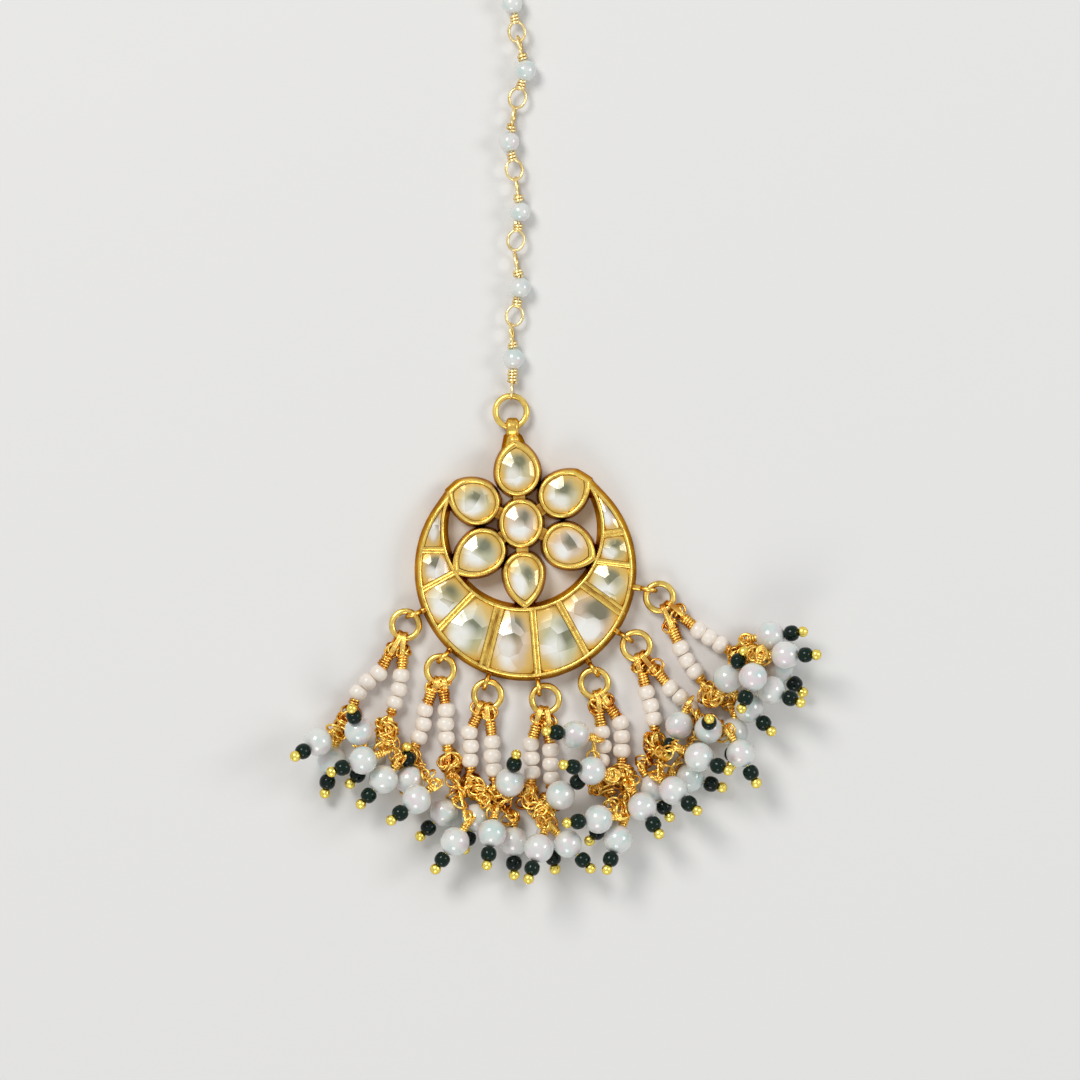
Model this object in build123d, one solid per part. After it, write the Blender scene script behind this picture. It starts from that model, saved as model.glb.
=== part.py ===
from build123d import *
import math
import os

# Maang tikka lying flat on its back. Millimetres.
# The origin is the centre of the crescent's outer circle, on the flat back plane.
# +Y runs up the chain, +X is to the right, and +Z points away from the back.

# Pendant frame
frame_height = 3.0
pocket_floor = 1.1
crescent_base_radius = 15.0
crescent_rim_radius = 14.45
crescent_pocket_radius = 14.0
hollow_centre = (-0.4, 5.5)
hollow_base_radius = 10.05
hollow_rim_radius = 10.6
hollow_pocket_radius = 11.05
crescent_top = 12.2
shoulder_out = 0.4
shoulder_depth = 0.4
shoulder_run = 13.0
divider_overshoot = 0.6
smallest_cell = 1.0
grooved_from = 1.2
groove_width = 0.4
groove_depth = 0.9

# Neck and bail: the neck's outline at its foot and at its crest
neck_foot = [(-4.0, 12.4), (-2.95, 18.2), (-2.4, 18.6), (-1.0, 18.6), (-0.5, 18.2), (2.2, 12.6)]
neck_crest = [(-3.3, 12.8), (-2.4, 17.9), (-2.1, 18.2), (-1.3, 18.2), (-1.0, 17.9), (1.4, 12.9)]
neck_height = 2.3
bail_centre = (-1.75, 19.2, 1.4)
bail_radius = 1.35
bail_hole = 0.75
bail_width = 1.7
bail_rounding = 0.5
neck_bead = (-1.65, 17.5, 2.1)
neck_bead_radius = 0.62

# Flower
flower_centre = (-0.6, 6.3)
bezel_wall = 0.5
bezel_slope = 0.35
tip_wall = 0.95
oval_half_width = 2.4
oval_half_length = 2.75
bridge_width = 1.6
bridge_height = 1.9

# Stones
stone_gap = 0.07
stone_lift = 0.04
crown_sink = 0.5
girdle_height = 2.5
table_height = 3.3
crown_sides = 8

# Wire, rings and beads
eyelet_major = 0.95
eyelet_wire = 0.32
eyelet_height = 1.3
stub_radius = 0.42
stub_sink = 0.4
ring_major = 1.83
ring_wire = 0.42
ring_height = 1.25
top_ring_major = 2.1
top_ring_wire = 0.4
top_ring_centre = (-1.95, 21.4, 1.33)
top_ring_tilt = -2.0
thread_wire = 0.22
eye_major = 0.92
eye_slack = 0.16
round_eye_run = 0.06
coil_radius = 0.62
top_coil_length = 1.7
seed_radius = 1.2
seed_length = 1.8
seed_rounding = 0.8
thread_lap = 0.3
strand_height = 1.25
pearl_radius = 2.0
dark_radius = 1.1
dark_length = 1.7
dark_rounding = 0.5
ball_radius = 0.68
pin_wire = 0.25
dark_reach = 2.95
ball_reach = 4.5
wrap_start = 1.9
wrap_end = 3.1
link_wire = 0.25
link_joint = 0.38
link_lap = 0.12
wrap_lap = 0.35
knot_major = 0.9
knot_wire = 0.3
knot_height = 1.4
tie_slots = 8
seam_turn = 62.0
least_join = 0.93
clear_gap = 0.08
raise_step = 0.1
highest_pearl = 9.0
knot_free = 1.3
tie_free = 2.8
bends = [
    # share of the way to the knot, rise, on the knot ring's far side
    (0.5, 0.0, False), (0.5, 0.8, False), (0.8, 0.8, False), (0.5, 1.6, False), (0.8, 1.6, False),
    (0.5, 2.4, False), (0.8, 2.4, False), (0.9, 1.2, True), (0.5, 3.2, False), (0.9, 2.4, True),
    (0.8, 3.2, False), (0.5, 4.0, False), (0.9, 3.6, True), (0.9, 4.8, True),
]
sample_step = 0.45

# Chain and hair hook
chain_height = 1.5
chain_tube = 0.45
chain_pearl_radius = 1.45
chain_loop_major = 0.9
chain_loop_wire = 0.24
chain_loop_drop = 0.2
hook_wire = 0.5
hook_bend = 2.95
hook_shank = 12.0
hook_return = 6.5
hook_eye_major = 1.15
hook_eye_wire = 0.4
hook_eye_slack = 0.15
hook_eye_height = 1.15
hook_flare = 4.4
hook_tip_radius = 0.65
hook_tip_length = 1.2
hook_tip_rounding = 0.5
hook_tilt = -2.2

# Petals: direction of the tip, distance of the round end's centre from the
# flower's centre, half width, and length from that centre to the tip.
petals = [
    # name          turn    reach  half   tip
    ("top",          94.0,  6.7,   2.45,  3.6),
    ("upper_left",  154.5,  6.55,  2.5,   3.55),
    ("lower_left",  216.0,  6.3,   2.5,   4.05),
    ("bottom",      273.0,  6.6,   2.2,   3.95),
    ("lower_right", 334.0,  6.6,   2.5,   3.6),
    ("upper_right",  34.8,  6.6,   2.5,   3.75),
]

# Walls between the crescent's cells: where each meets the outer circle and the
# hollow, as an angle about that circle's own centre, and how wide it is.
dividers = [
    # outer   inner   width
    (169.3,  195.5,  0.8),
    (191.3,  212.7,  0.8),
    (214.6,  232.9,  0.9),
    (246.9,  253.4,  1.4),
    (276.8,  277.1,  0.9),
    (305.8,  296.0,  0.9),
    (336.1,  317.6,  1.2),
    (362.2,  336.4,  0.7),
    (381.2,  355.9,  0.9),
]

# Fringe: where each eyelet stands round the crescent, how far its centre is
# from the origin, and which way its jump ring lies from it.
fringe = [
    # angle   reach   swing
    (201.6,  16.2,   232.0),
    (226.6,  16.1,   256.0),
    (250.7,  15.95,  275.0),
    (276.4,  15.95,  300.0),
    (304.5,  16.3,   272.0),
    (326.2,  16.3,   321.0),
    (351.0,  16.8,   325.0),
]

# Strands: the jump ring that each hangs on, its three seed beads and its knot,
# the place where the pearl drops are tied on.
strands = [
    # name  ring   first            second           third            knot
    ("1a",  0, (-19.8, -13.9), (-21.3, -15.1), (-22.6, -16.6), (-24.0, -19.9)),
    ("1b",  0, (-16.8, -14.2), (-17.1, -16.1), (-17.7, -17.9), (-18.7, -21.2)),
    ("2a",  1, (-13.6, -18.9), (-13.8, -20.8), (-14.4, -22.6), (-15.7, -25.7)),
    ("2b",  1, (-10.7, -18.9), (-10.8, -20.8), (-10.7, -22.7), (-10.3, -26.1)),
    ("3a",  2, (-7.6, -21.9), (-7.4, -23.8), (-7.5, -25.7), (-7.3, -29.1)),
    ("3b",  2, (-4.5, -23.2), (-4.5, -25.1), (-4.3, -27.0), (-4.1, -30.4)),
    ("4a",  3, (0.7, -23.5), (0.8, -25.4), (0.9, -27.3), (0.5, -30.7)),
    ("4b",  3, (3.4, -24.3), (3.4, -26.2), (3.5, -28.1), (3.3, -31.5)),
    ("5a",  4, (10.3, -21.9), (10.5, -23.8), (10.2, -25.7), (9.9, -29.1)),
    ("5b",  4, (12.8, -20.6), (13.0, -22.5), (13.0, -24.4), (13.0, -27.8)),
    ("6a",  5, (16.3, -16.5), (16.9, -18.3), (17.3, -20.1), (17.7, -23.5)),
    ("6b",  5, (19.5, -15.9), (20.9, -17.2), (22.2, -18.5), (24.3, -21.0)),
    ("7a",  6, (20.9, -10.5), (21.8, -12.2), (22.9, -13.7), (24.9, -16.4)),
    ("7b",  6, (23.3, -8.1), (24.8, -9.1), (26.3, -10.1), (29.2, -11.8)),
]

# Drops in the order in which they are laid down: the strand that each is tied
# to, where its pearl lies, which way its headpin points, and how steeply.
drops = [
    # strand   x       y     turn  rise
    ("1b",  -20.7,  -25.4,  229,   0),
    ("5b",   11.6,  -33.1,  229,   0),
    ("6a",   17.2,  -29.4,  300,   0),
    ("6b",   22.2,  -28.0,  343,   0),
    ("7b",   34.2,  -13.3,  315,   0),
    ("7a",   28.1,  -21.9,  265,  10),
    ("6b",   28.9,  -24.6,  298,   0),
    ("6b",   20.7,  -20.9,  246,   0),
    ("6b",   24.6,  -21.4,   90,  70),
    ("1a",  -26.1,  -25.7,  258,   0),
    ("1a",  -22.4,  -21.6,  105,  45),
    ("2a",  -15.6,  -28.3,   95,  10),
    ("2b",  -11.0,  -32.7,  225,   0),
    ("2a",  -14.6,  -30.8,  219,  15),
    ("3a",   -6.7,  -33.4,  250,   0),
    ("2b",   -9.5,  -36.5,  235,   0),
    ("4b",    3.2,  -35.9,  280,   0),
    ("3b",   -1.6,  -36.6,  271,   0),
    ("4b",    5.7,  -36.8,  313,   0),
    ("4a",    1.8,  -37.3,  251,  20),
    ("5b",   12.4,  -36.2,  250,  20),
    ("5b",   15.7,  -31.8,  302,  20),
    ("7a",   30.1,  -18.6,  314,  20),
    ("6a",   23.3,  -25.1,  336,  20),
    ("7a",   27.2,  -14.6,   60,  20),
    ("7b",   33.0,   -8.9,    8,  15),
    ("7b",   33.0,  -16.1,  337,  20),
    ("1b",  -19.1,  -28.1,  228,   0),
    ("1a",  -27.9,  -23.1,  212,  40),
    ("1b",  -21.8,  -25.5,  200,  10),
    ("3a",   -4.5,  -35.4,  261,  20),
    ("3b",   -2.1,  -28.6,   77,  30),
    ("4b",    4.7,  -30.3,   38,   0),
    ("5a",    6.7,  -22.2,  171,  30),
    ("5a",    9.8,  -33.4,  186,  20),
    ("5a",    8.9,  -26.9,  167,  30),
    ("6a",   19.9,  -29.6,  320,  25),
    ("7b",   30.5,  -14.3,  250,   0),
    ("7b",   34.9,  -11.4,    1,  25),
]

# The chain's route from the top ring to the hook. Pearls sit at every second
# point, and the wire loops of two links meet at the points between.
chain_route = [
    (-1.9, 23.7),
    (-1.6, 28.5),
    (-1.9, 32.4),
    (-0.7, 38.1),
    (-1.5, 43.1),
    (-0.7, 48.3),
    (-1.3, 52.8),
    (-2.2, 57.8),
    (-1.4, 62.6),
    (0.0, 67.4),
    (-1.1, 72.2),
    (-1.8, 76.4),
    (-1.5, 80.6),
]


def polar(angle, reach, centre=(0.0, 0.0)):
    turn = math.radians(angle)
    return (centre[0] + reach * math.cos(turn), centre[1] + reach * math.sin(turn))


def rod(start, end, radius):
    axis = Vector(*end) - Vector(*start)
    place = Plane(origin=start, z_dir=axis)
    return place * Cylinder(radius, axis.length, align=(Align.CENTER, Align.CENTER, Align.MIN))


def rounded_bead(centre, axis, radius, length, rounding):
    bead = Cylinder(radius, length)
    bead = fillet(bead.edges().filter_by(GeomType.CIRCLE), rounding)
    return Plane(origin=centre, z_dir=axis) * bead


# Joins pieces that touch into one solid, in another order where a join isn't sound.
def joined(pieces):
    whole = sum(piece.volume for piece in pieces)
    for first in range(len(pieces)):
        order = pieces[first:] + pieces[:first]
        solid = order[0].fuse(*order[1:])
        if solid.is_valid and len(solid.solids()) == 1 and solid.volume > least_join * whole:
            return solid
    raise ValueError("these pieces don't join into one solid")


def save(shape, node):
    export_step(shape, f"parts/{node}.step")


# A pointed drop: a half circle whose ends run on as two arcs to the tip.
def teardrop(half_width, tip):
    low = (0, -half_width)
    high = (0, half_width)
    point = (tip, 0)
    round_end = RadiusArc(low, high, half_width)
    if round_end.position_at(0.5).X > 0:
        round_end = RadiusArc(low, high, -half_width)
    side_radius = (tip**2 + half_width**2) / (2 * half_width)
    upper = CenterArc((0, half_width - side_radius), side_radius, 90,
                      -math.degrees(math.asin(tip / side_radius)))
    lower = CenterArc((0, side_radius - half_width), side_radius, -90,
                      math.degrees(math.asin(tip / side_radius)))
    return make_face([round_end, upper, lower])


def oval(half_width, half_length):
    return make_face(Ellipse(half_width, half_length).face().outer_wire())


def petal_place(petal):
    name, turn, reach, half, tip = petal
    x, y = polar(turn, reach, flower_centre)
    return Pos(x, y, 0) * Rot(0, 0, turn)


def petal_body(petal):
    name, turn, reach, half, tip = petal
    foot = teardrop(half + bezel_wall + bezel_slope, tip + tip_wall + bezel_slope)
    rim = teardrop(half + bezel_wall, tip + tip_wall)
    return petal_place(petal) * loft([foot, Pos(0, 0, frame_height) * rim])


def oval_body():
    wall = oval(oval_half_width + bezel_wall, oval_half_length + bezel_wall)
    foot = oval(oval_half_width + bezel_wall + bezel_slope, oval_half_length + bezel_wall + bezel_slope)
    return Pos(*flower_centre, 0) * loft([foot, Pos(0, 0, frame_height) * wall])


def crescent_body():
    outside = Cone(crescent_base_radius, crescent_rim_radius, frame_height,
                   align=(Align.CENTER, Align.CENTER, Align.MIN))
    slope = (hollow_rim_radius - hollow_base_radius) / frame_height
    hollow = Cone(hollow_base_radius - slope, hollow_rim_radius + slope, frame_height + 2,
                  align=(Align.CENTER, Align.CENTER, Align.MIN))
    above = Pos(0, crescent_top, 0) * Box(2 * crescent_base_radius, crescent_base_radius, frame_height,
                                          align=(Align.CENTER, Align.MIN, Align.MIN))
    return outside - Pos(*hollow_centre, -1) * hollow - above


# Fills the outline out between an upper petal's tip and the crescent's wall.
def shoulder(petal, way):
    tip = polar(petal[1], petal[2] + petal[4], flower_centre)
    angle = math.degrees(math.atan2(tip[1], tip[0]))
    sections = []
    for height, radius in ((0, crescent_base_radius), (frame_height, crescent_rim_radius)):
        corners = [
            polar(angle, radius + shoulder_out),
            polar(angle + way * shoulder_run, radius),
            polar(angle, radius - shoulder_depth),
        ]
        sections.append(Pos(0, 0, height) * make_face(Polyline(corners, close=True)))
    return loft(sections, ruled=True)


def divider_bar(divider, width):
    outer, inner, wall = divider
    outside = polar(outer, crescent_pocket_radius + divider_overshoot)
    inside = polar(inner, hollow_pocket_radius - divider_overshoot, hollow_centre)
    run = Vector(*outside) - Vector(*inside)
    middle = (Vector(*outside) + Vector(*inside)) * 0.5
    bar = Rectangle(run.length, width)
    return Pos(middle.X, middle.Y, 0) * Rot(0, 0, math.degrees(math.atan2(run.Y, run.X))) * bar


# The crescent's cells, as flat faces, from the left tip round to the right tip.
def crescent_cells():
    region = Circle(crescent_pocket_radius) - Pos(*hollow_centre) * Circle(hollow_pocket_radius)
    for divider in dividers:
        region -= divider_bar(divider, divider[2])
    cells = [face for face in region.faces() if face.area > smallest_cell]

    def bearing(face):
        centre = face.center()
        return (math.degrees(math.atan2(centre.Y, centre.X)) - 90) % 360

    return sorted(cells, key=bearing)


def bridges():
    bars = []
    for name, turn, reach, half, tip in petals:
        start = polar(turn, oval_half_width, flower_centre)
        end = polar(turn, reach - half, flower_centre)
        run = math.dist(start, end)
        x, y = polar(turn, (oval_half_width + reach - half) / 2, flower_centre)
        bar = Box(run, bridge_width, bridge_height, align=(Align.CENTER, Align.CENTER, Align.MIN))
        bars.append(Pos(x, y, 0) * Rot(0, 0, turn) * bar)
    return bars


def neck_and_bail():
    foot = make_face(Polyline(neck_foot, close=True))
    crest = Pos(0, 0, neck_height) * make_face(Polyline(neck_crest, close=True))
    neck = loft([foot, crest], ruled=True)
    bail = Cylinder(bail_radius, bail_width)
    bail = fillet(bail.edges().filter_by(GeomType.CIRCLE), bail_rounding)
    bail_place = Pos(*bail_centre) * Rot(0, 90, 0)
    eye = bail_place * Cylinder(bail_hole, bail_width + 2)
    return (neck + bail_place * bail + Pos(*neck_bead) * Sphere(neck_bead_radius)) - eye


def eyelet_centre(row):
    angle, reach, swing = row
    return polar(angle, reach)


def eyelet(row):
    angle, reach, swing = row
    x, y = eyelet_centre(row)
    loop = Pos(x, y, eyelet_height) * Rot(0, 0, angle) * Rot(90, 0, 0) * Torus(eyelet_major, eyelet_wire)
    start = (*polar(angle, crescent_rim_radius - stub_sink), eyelet_height)
    end = (*polar(angle, reach - eyelet_major), eyelet_height)
    return loop + rod(start, end, stub_radius)


def ring_centre(index):
    angle, reach, swing = fringe[index]
    return polar(swing, ring_major, eyelet_centre(fringe[index]))


def pendant_frame():
    body = crescent_body() + oval_body() + neck_and_bail()
    upright = (Align.CENTER, Align.CENTER, Align.MIN)
    limit = Cone(crescent_base_radius + shoulder_out, crescent_rim_radius + shoulder_out, frame_height,
                 align=upright)
    for petal in petals:
        outside = petal_body(petal)
        if petal[0] != "top":
            outside &= limit
        body += outside
    for name, way in (("upper_left", 1), ("upper_right", -1)):
        body += shoulder(next(petal for petal in petals if petal[0] == name), way)
    for bar in bridges():
        body += bar
    for row in fringe:
        body += eyelet(row)
    deep = frame_height - pocket_floor + 1
    for cell in crescent_cells():
        body -= Pos(0, 0, pocket_floor) * extrude(cell, deep)
    for petal in petals:
        pocket = extrude(teardrop(petal[3], petal[4]), deep)
        body -= Pos(0, 0, pocket_floor) * petal_place(petal) * pocket
    body -= Pos(*flower_centre, pocket_floor) * extrude(oval(oval_half_width, oval_half_length), deep)
    for divider in dividers:
        if divider[2] >= grooved_from:
            groove = extrude(divider_bar(divider, groove_width), groove_depth + 1)
            body -= Pos(0, 0, frame_height - groove_depth) * groove
    return body


# The crown that a stone is cut to: rings of facets that narrow up to a flat table.
def crown(centre, turn, half_length, half_width):
    steps = [
        # height                                 share of the stone's half size
        (pocket_floor - crown_sink,              1.75),
        (girdle_height,                          1.32),
        ((girdle_height + 2 * table_height) / 3, 0.74),
        (table_height,                           0.36),
    ]
    sections = []
    for height, share in steps:
        corners = []
        for side in range(crown_sides):
            angle = 2 * math.pi * (side + 0.5) / crown_sides
            corners.append((share * half_length * math.cos(angle), share * half_width * math.sin(angle)))
        sections.append(Pos(0, 0, height) * make_face(Polyline(corners, close=True)))
    return Pos(*centre, 0) * Rot(0, 0, turn) * loft(sections, ruled=True)


def cut_stone(outline, place, centre, turn, half_length, half_width):
    blank = place * extrude(outline, table_height)
    blank = Pos(0, 0, pocket_floor + stone_lift) * blank
    return blank & crown(centre, turn, half_length, half_width)


def petal_stone(petal):
    name, turn, reach, half, tip = petal
    outline = teardrop(half - stone_gap, tip - 2 * stone_gap)
    centre = polar(turn, reach + (tip - half) / 2, flower_centre)
    return cut_stone(outline, petal_place(petal), centre, turn, (half + tip) / 2, half)


def oval_stone():
    outline = oval(oval_half_width - stone_gap, oval_half_length - stone_gap)
    return cut_stone(outline, Pos(*flower_centre, 0), flower_centre, 0, oval_half_width, oval_half_length)


def crescent_stone(cell):
    outline = offset(cell, -stone_gap, kind=Kind.INTERSECTION)
    centre = cell.center()
    turn = math.degrees(math.atan2(centre.Y, centre.X))
    box = (Rot(0, 0, -turn) * cell).bounding_box().size
    return cut_stone(outline, Pos(0, 0, 0), (centre.X, centre.Y), turn, box.X / 2, box.Y / 2)


# A long wire eye that stands on edge: two half rings joined by straight sides.
def wire_eye(start, end, height, major, wire):
    run = Vector(*end) - Vector(*start)
    along = run.normalized()
    side = Plane(origin=(*start, height), x_dir=(along.X, along.Y, 0), z_dir=(along.Y, -along.X, 0))
    near = Rot(0, 0, 90) * Torus(major, wire, major_angle=180, align=None)
    far = Pos(run.length, 0, 0) * Rot(0, 0, -90) * Torus(major, wire, major_angle=180, align=None)
    upper = rod((0, major, 0), (run.length, major, 0), wire)
    lower = rod((0, -major, 0), (run.length, -major, 0), wire)
    return side * (near + far + upper + lower)


def heading(start, end):
    run = math.dist(start, end)
    return ((end[0] - start[0]) / run, (end[1] - start[1]) / run)


def step_along(start, direction, distance):
    return (start[0] + direction[0] * distance, start[1] + direction[1] * distance)


# The places along a strand's wire, all at one height.
def strand_places(row):
    name, ring, first, second, third, knot = row
    centre = ring_centre(ring)
    down = heading(centre, first)
    hook = step_along(centre, down, ring_major + eye_slack)
    coil_end = step_along(first, down, -seed_length / 2)
    coil_start = step_along(coil_end, down, -top_coil_length)
    eye_end = step_along(coil_start, down, -eye_major)
    out = heading(third, knot)
    tail_start = step_along(third, out, seed_length / 2)
    tail_eye = step_along(knot, out, -eye_major)
    tail_end = step_along(tail_eye, out, -eye_major)
    return {
        "hook": hook, "eye_end": eye_end, "coil_start": coil_start, "coil_end": coil_end,
        "seeds": [first, second, third], "tail_start": tail_start, "tail_end": tail_end,
        "tail_eye": tail_eye, "knot": knot,
    }


def bead_strand(row):
    at = strand_places(row)
    lift = strand_height
    eye = wire_eye(at["hook"], at["eye_end"], lift, eye_major, thread_wire)
    coil = rod((*at["coil_start"], lift), (*at["coil_end"], lift), coil_radius)
    tail = rod((*at["tail_start"], lift), (*at["tail_end"], lift), coil_radius)
    out = heading(at["tail_end"], at["knot"])
    tail_far = step_along(at["tail_eye"], out, round_eye_run)
    tail_eye = wire_eye(at["tail_eye"], tail_far, lift, eye_major, thread_wire)
    pieces = [eye, coil, tail, tail_eye]
    thread = [at["coil_end"], *at["seeds"], at["tail_start"]]
    for start, end in zip(thread[:-1], thread[1:]):
        along = heading(start, end)
        near = step_along(start, along, -thread_lap if start == thread[0] else thread_lap)
        far = step_along(end, along, thread_lap if end == thread[-1] else -thread_lap)
        pieces.append(rod((*near, lift), (*far, lift), thread_wire))
    for index, seed in enumerate(at["seeds"]):
        before = thread[index]
        after = thread[index + 2]
        axis = (after[0] - before[0], after[1] - before[1], 0)
        pieces.append(rounded_bead((*seed, lift), axis, seed_radius, seed_length, seed_rounding))
    return joined(pieces)


def samples(start, end, radius):
    count = max(1, math.ceil(math.dist(start, end) / sample_step))
    return [
        (*(start[k] + (end[k] - start[k]) * i / count for k in range(3)), radius)
        for i in range(count + 1)
    ]


# A strand as small balls, for laying the drops on it.
def strand_balls(row):
    at = strand_places(row)
    balls = []
    for seed in at["seeds"]:
        balls.append((*seed, strand_height, seed_radius))
    for start, end in (("coil_start", "coil_end"), ("tail_start", "tail_end")):
        balls += samples((*at[start], strand_height), (*at[end], strand_height), coil_radius)
    for start, end in (("hook", "eye_end"), ("tail_end", "tail_eye")):
        for side in (-eye_major, eye_major):
            level = strand_height + side
            balls += samples((*at[start], level), (*at[end], level), thread_wire)
    return balls


# The free place on a knot ring that is nearest to a direction.
def tie_slot(toward, taken):
    wanted = math.degrees(math.atan2(toward[1], toward[0]))

    def gap(slot):
        return abs((wanted - slot * 360 / tie_slots + 180) % 360 - 180)

    return min((slot for slot in range(tie_slots) if slot not in taken), key=gap)


# One drop at a given height: its axis, its beads and the wire that ties it to
# the knot ring, which rises over a bend when something lies in its way.
def drop_shape(row, knot, outward, height, bend, taken):
    strand, x, y, turn, rise = row
    share, lift, far_side = bend
    flat = math.cos(math.radians(rise))
    axis = (*polar(turn, flat), math.sin(math.radians(rise)))
    pearl = (x, y, height)

    def on_pin(distance):
        return tuple(pearl[k] + axis[k] * distance for k in range(3))

    wrap_far = on_pin(-wrap_end)
    toward = outward if far_side else heading(knot, wrap_far[:2])
    slot = tie_slot(toward, taken)
    tied = (*polar(slot * 360 / tie_slots, knot_major, knot), knot_height)
    over = [wrap_far[k] + (tied[k] - wrap_far[k]) * share for k in range(3)]
    over[2] += lift
    return {
        "axis": axis, "pearl": pearl, "dark": on_pin(dark_reach), "ball": on_pin(ball_reach),
        "wrap_near": on_pin(-wrap_start), "wrap_far": wrap_far, "bend": tuple(over), "tied": tied,
        "link_start": on_pin(wrap_lap - wrap_end), "slot": slot,
    }


def drop_balls(at):
    balls = [(*at["pearl"], pearl_radius), (*at["dark"], dark_radius), (*at["ball"], ball_radius)]
    balls += samples(at["wrap_near"], at["wrap_far"], coil_radius)
    balls += samples(at["wrap_far"], at["bend"], link_wire)
    return balls


def link_balls(at):
    return samples(at["bend"], at["tied"], link_wire)


def touches(ball, others):
    x, y, z, radius = ball
    for ox, oy, oz, other in others:
        reach = radius + other + clear_gap
        if abs(x - ox) < reach and abs(y - oy) < reach:
            if (x - ox) ** 2 + (y - oy) ** 2 + (z - oz) ** 2 < reach**2:
                return True
    return False


# Lays the drops one by one. Each is raised until it clears the surface and all
# that was laid before it. The wire's last stretch may meet its own knot.
def lay_drops():
    knots = {row[0]: row[5] for row in strands}
    outward = {row[0]: heading(row[4], row[5]) for row in strands}
    fixed = {row[0]: strand_balls(row) for row in strands}
    laid = {row[0]: [] for row in strands}
    ends = {row[0]: [] for row in strands}
    placed = {row[0]: [] for row in strands}
    for row in drops:
        name = row[0]
        knot = knots[name]
        blocked = [ball for key in fixed for ball in fixed[key] + laid[key]]
        others = [ball for key in ends if key != name for ball in ends[key]]
        away = [ball for key in fixed for ball in fixed[key] if math.dist(ball[:2], knot) > knot_free]
        away += [ball for key in laid if key != name for ball in laid[key]]
        away += [ball for ball in laid[name] if math.dist(ball[:2], knot) > tie_free]
        taken = [at["slot"] for at in placed[name]]
        found = None
        height = pearl_radius
        while found is None and height < highest_pearl:
            for bend in bends:
                at = drop_shape(row, knot, outward[name], height, bend, taken)
                body = drop_balls(at)
                link = link_balls(at)
                low = any(ball[2] < ball[3] for ball in body)
                if low or any(touches(ball, blocked + others) for ball in body):
                    continue
                if any(touches(ball, away + others) for ball in link):
                    continue
                found = at
                break
            height += raise_step
        placed[name].append(found)
        laid[name] += drop_balls(found)
        ends[name] += link_balls(found)
    return placed


# A place just before a joint ball's centre, on the way from another point.
def short_of(joint, other):
    back = Vector(*other) - Vector(*joint)
    return tuple(Vector(*joint) + back.normalized() * link_lap)


# Half the outline of a drop, to be turned about its pin: coil, pearl, dark bead, end ball.
def drop_outline():
    coil_stop = -math.sqrt(pearl_radius**2 - coil_radius**2)
    pearl_stop = math.sqrt(pearl_radius**2 - pin_wire**2)
    near = dark_reach - dark_length / 2
    far = dark_reach + dark_length / 2
    hole_edge = dark_radius - dark_rounding
    shoulder = dark_rounding * (1 - math.sqrt(0.5))
    ball_start = ball_reach - math.sqrt(ball_radius**2 - pin_wire**2)
    ball_stop = ball_reach + ball_radius
    return make_face([
        Polyline((-wrap_end, 0), (-wrap_end, coil_radius), (coil_stop, coil_radius)),
        ThreePointArc((coil_stop, coil_radius), (0, pearl_radius), (pearl_stop, pin_wire)),
        Polyline((pearl_stop, pin_wire), (near, pin_wire), (near, hole_edge)),
        ThreePointArc((near, hole_edge), (near + shoulder, dark_radius - shoulder),
                      (near + dark_rounding, dark_radius)),
        Line((near + dark_rounding, dark_radius), (far - dark_rounding, dark_radius)),
        ThreePointArc((far - dark_rounding, dark_radius), (far - shoulder, dark_radius - shoulder),
                      (far, hole_edge)),
        Polyline((far, hole_edge), (far, pin_wire), (ball_start, pin_wire)),
        ThreePointArc((ball_start, pin_wire), (ball_reach, ball_radius), (ball_stop, 0)),
        Line((ball_stop, 0), (-wrap_end, 0)),
    ])


def pearl_drop(at):
    side = (-at["axis"][1], at["axis"][0], 0)
    place = Plane(origin=at["pearl"], x_dir=at["axis"], z_dir=side)
    turn = math.degrees(math.atan2(at["tied"][1] - at["bend"][1], at["tied"][0] - at["bend"][0]))
    return [
        place * Rot(seam_turn, 0, 0) * revolve(drop_outline(), axis=Axis.X),
        rod(at["link_start"], short_of(at["bend"], at["link_start"]), link_wire),
        Pos(*at["bend"]) * Rot(0, 0, turn + 90) * Cylinder(link_joint, 2 * link_joint),
        rod(short_of(at["bend"], at["tied"]), at["tied"], link_wire),
    ]


def pearl_cluster(row, placed):
    knot = row[5]
    band = Cylinder(knot_major + knot_wire, 2 * knot_wire) - Cylinder(knot_major - knot_wire, 4 * knot_wire)
    ring = Pos(*knot, knot_height) * Rot(0, 0, 180 / tie_slots) * band
    return joined([ring] + [piece for at in placed for piece in pearl_drop(at)])


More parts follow.
